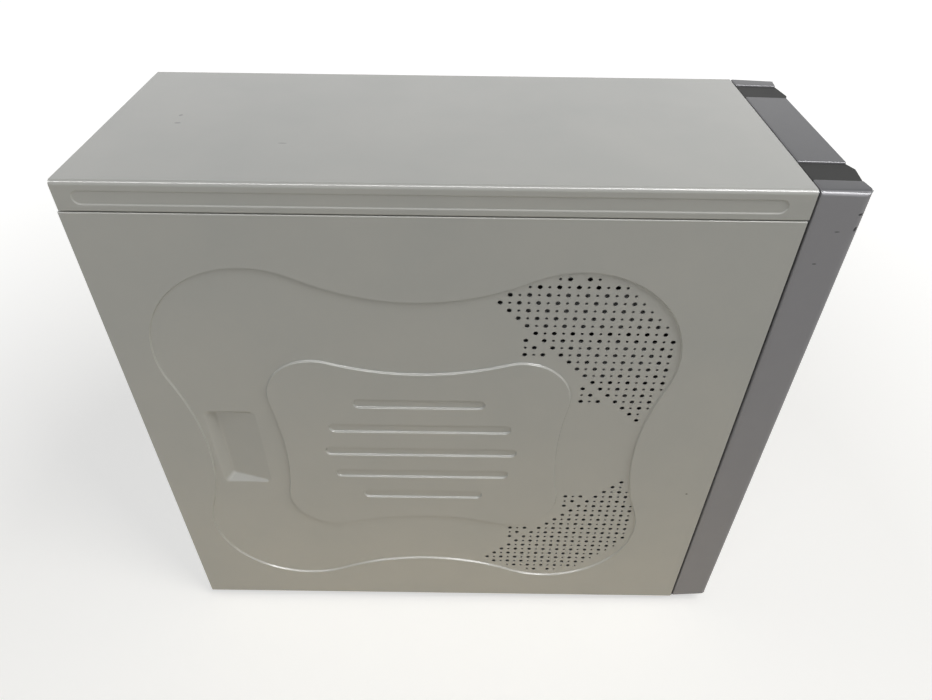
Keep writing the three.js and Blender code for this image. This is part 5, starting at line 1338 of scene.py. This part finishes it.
def cables():
    """The routes start at the supply's wall and end in the middle of each plug."""
    wires(
        "board_wires", "supply_cable_board",
        [(-34, 85.3, 345.3), (-34, 67.3, 345.3), (-22.7, 41.5, 323.3), (0, 15.6, 272.3),
         (21.3, 28.6, 173.3), (39.3, 33.6, 155.3), (51.3, 33.6, 155.3)],
        (0, 2, 1, 3, 0, 1, 3, 0, 2, 0, 3), 1.25, 3.6, (0, 0, 4.1),
        ((45.3, 29.1, 131.3), (57.3, 38.1, 179.3)))
    wires(
        "optical_wires", "supply_cable_optical",
        [(-14, 85.3, 345.3), (-14, 67.3, 345.3), (-27, 14.8, 335.3), (-40, -25.7, 380.15),
         (-40, -49.7, 380.15)],
        (2, 0, 0, 1), 1.1, 1.8, (3.6, 0, 0), ((-48, -55.7, 375.65), (-32, -43.7, 384.65)))
    wires(
        "disk_wires", "supply_cable_disk",
        [(-56, 85.3, 345.3), (-56, 67.3, 345.3), (-13, 19.65, 138.8), (30, -16, 138.8),
         (30, -40, 138.8)],
        (2, 0, 0, 1), 1.1, 1.8, (3.6, 0, 0), ((22, -46, 134.3), (38, -34, 143.3)))


# Softened edges of the CAD nodes: width in millimetres, segments, least angle, change of shape, nodes
EDGES = (
    (0.8, 3, 25, shape_bezel, "front_bezel"),
    (0.6, 3, 18, shape_strip, "bezel_strip_upper_left bezel_strip_upper_right"),
    (0.6, 3, 18, bring_forward, "bezel_strip_lower_left bezel_strip_lower_right"),
    (0.5, 3, 18, bring_forward, "wide_bay_cover_1 wide_bay_cover_2 wide_bay_cover_3"),
    (0.5, 3, 35, bring_forward, "slim_bay_cover optical_drive_face floppy_drive_face"),
    (0.35, 2, 35, bring_forward, "optical_tray"),
    (0.5, 3, 35, bring_forward, "optical_eject_button floppy_eject_button"),
    (0.35, 2, 35, bring_forward, "front_ports"),
    (0.3, 2, 20, bring_forward, "power_button"),
    (0.2, 2, 20, bring_forward, "reset_button"),
    (0.3, 2, 20, bring_forward, "power_lamp drive_lamp"),
    (0.2, 1, 35, None, "base_pan front_frame rear_panel board_tray drive_cage_wide drive_cage_slim"),
    (0.3, 2, 35, None, "optical_drive floppy_drive"),
    (0.4, 2, 30, None, "hard_disk"),
    (0.3, 2, 35, None, "supply_case"),
    (0.5, 3, 30, None, "power_inlet"),
    (0.5, 3, 20, None, "supply_rocker"),
    (0.3, 2, 35, None, "supply_voltage_selector"),
    (0.2, 1, 35, None, "processor_cooler"),
    (0.2, 2, 35, None, "rear_ports"),
    (0.2, 1, 35, None, "slot_cover_1 slot_cover_2"),
    (0.8, 3, 35, None, "foot_front_left foot_front_right foot_rear_left foot_rear_right"),
)


# Camera, floor and light

PHOTO_WIDTH = 932
FOCAL_PIXELS = 697.24
WHITE = (1.0, 1.0, 1.0, 1.0)


def make_camera():
    data = bpy.data.cameras.new("photo view")
    camera = linked("photo view", data)
    data.sensor_fit = "HORIZONTAL"
    data.sensor_width = 36.0
    data.lens = FOCAL_PIXELS / PHOTO_WIDTH * data.sensor_width
    right = Vector((0.0087, -0.9999, 0.0099))
    up = Vector((0.6432, 0.0132, 0.7656))
    back = Vector((-0.7656, -0.0002, 0.6433))
    place = (-0.4416, -0.0058, 0.6001)
    turn = Matrix((right, up, back)).transposed().to_4x4()
    camera.matrix_world = Matrix.Translation(place) @ turn
    bpy.context.scene.camera = camera


def make_floor():
    """A pale floor that the camera sees white away from the part's shadow."""
    bm = bmesh.new()
    bmesh.ops.create_grid(bm, x_segments=2, y_segments=2, size=8.0)
    mesh = bpy.data.meshes.new("floor")
    bm.to_mesh(mesh)
    bm.free()
    floor = linked("floor", mesh)
    material, tree, shader = new_finish("pale floor")
    set_inputs(tree, shader, {
        "Base Color": (0.6, 0.58, 0.53, 1.0), "Roughness": 0.9, "Specular IOR Level": 0.1})
    path = add_node(tree, "LightPath", {}).outputs
    seen = math_node(tree, "MAXIMUM", path["Is Camera Ray"], path["Is Transmission Ray"])
    away = vector_node(tree, "LENGTH", "Value", object_position(tree))
    rise = map_range(tree, away, 0.45, 1.2, 0.57, 0.9)
    strength = math_node(tree, "MULTIPLY", seen, rise)
    glow = add_node(tree, "Emission", {"Color": WHITE, "Strength": strength})
    both = add_node(tree, "AddShader", {0: shader.outputs["BSDF"], 1: glow.outputs["Emission"]})
    tree.links.new(both.outputs["Shader"], tree.nodes["Material Output"].inputs["Surface"])
    floor.data.materials.append(material)


def make_world():
    """A pale light from all around. The camera, gloss and glass see plain white instead."""
    world = bpy.data.worlds.new("studio")
    bpy.context.scene.world = world
    world.use_nodes = True
    tree = world.node_tree
    backdrop = tree.nodes["Background"]
    set_inputs(tree, backdrop, {"Color": (0.9, 0.94, 1.0, 1.0), "Strength": 0.2})
    white = add_node(tree, "Background", {"Color": WHITE, "Strength": 1.0})
    path = add_node(tree, "LightPath", {}).outputs
    seen = math_node(tree, "MAXIMUM", path["Is Camera Ray"], path["Is Glossy Ray"])
    seen = math_node(tree, "MAXIMUM", seen, path["Is Transmission Ray"])
    mix = add_node(tree, "MixShader", {0: seen, 1: backdrop.outputs[0], 2: white.outputs[0]})
    tree.links.new(mix.outputs[0], tree.nodes["World Output"].inputs["Surface"])


def make_lamp(
    name, place, target, size, power, colour=WHITE[:3], diffuse=True, glossy=True, on_floor=True
):
    data = bpy.data.lights.new(name, "AREA")
    data.shape = "RECTANGLE"
    data.size, data.size_y = size
    data.energy = power
    data.color = colour
    lamp = linked(name, data)
    lamp.location = place
    away = Vector(place) - Vector(target)
    lamp.rotation_euler = away.to_track_quat("Z", "Y").to_euler()
    lamp.visible_camera = False
    lamp.visible_diffuse = diffuse
    lamp.visible_glossy = glossy
    if not on_floor:
        spared = bpy.data.collections.new(name + " spares")
        spared.objects.link(bpy.data.objects["floor"])
        spared.collection_objects[0].light_linking.link_state = "EXCLUDE"
        lamp.light_linking.receiver_collection = spared


def make_lights():
    """Soft lamps. The fills give no highlights, and most of them leave the floor alone."""
    fill_only = {"glossy": False, "on_floor": False}
    make_lamp("front softbox", (-0.48, -0.7, 1.55), (0, -0.1, 0.3), (0.6, 0.8), 10.1)
    make_lamp(
        "rear fill", (-1.3, 0.9, 0.42), (-0.1, 0.1, 0.2), (0.6, 0.3), 4.1, (0.97, 0.98, 1.0),
        glossy=False)
    make_lamp(
        "low warm fill", (-0.3, 0.0, 0.01), (-0.09, 0.0, 0.05), (0.8, 0.05), 0.24, (1.0, 0.72, 0.3),
        **fill_only)
    make_lamp("front fill", (-0.12, -1.5, 0.32), (0, -0.2, 0.22), (0.8, 0.8), 6.5, **fill_only)
    make_lamp("right fill", (1.5, 0.1, 0.3), (0.1, 0, 0.22), (0.8, 0.8), 8.0, **fill_only)
    make_lamp("back fill", (0.25, 1.6, 0.32), (0, 0.2, 0.22), (0.8, 0.8), 10.0, **fill_only)
    make_lamp("long reflector", (-0.62, 0.0, 1.6), (-0.09, 0.0, 0.4), (2.6, 0.25), 27.0, diffuse=False)


make_camera()
make_floor()
make_world()
make_lights()
bpy.context.scene.view_settings.view_transform = "Standard"

# Every CAD node first gets its slot's finish
for node, slot in SLOTS.items():
    for holder in NODES[node].material_slots:
        holder.material = FINISHES[slot]

side_panel("side_panel_left", "left_panel", True)
side_panel("side_panel_right", "right_panel", False)
top_cover()
for width, segments, angle, shape, nodes in EDGES:
    for node in nodes.split():
        if node == "front_frame":
            # The front frame's outer edges get dark rubber: painted shade in the seam beside the bezel.
            refined(node, width, segments, angle, [RUBBER], in_seam_shade)
        else:
            refined(node, width, segments, angle, shape=shape)
fan("case_fan", Matrix.Rotation(-QUARTER, 4, "X"), 1)
fan("supply_fan", Matrix.Rotation(-QUARTER, 4, "X"), 1)
fan("cooler_fan", Matrix.Rotation(QUARTER, 4, "Y"), 0)
wire_guard()
for side in ("left", "right"):
    for place in ("lower", "upper"):
        thumbscrew(f"thumbscrew_{side}_{place}")
main_board()
memory_module()
graphics_card()
port_fittings()
front_fittings()
rear_screws()
cables()
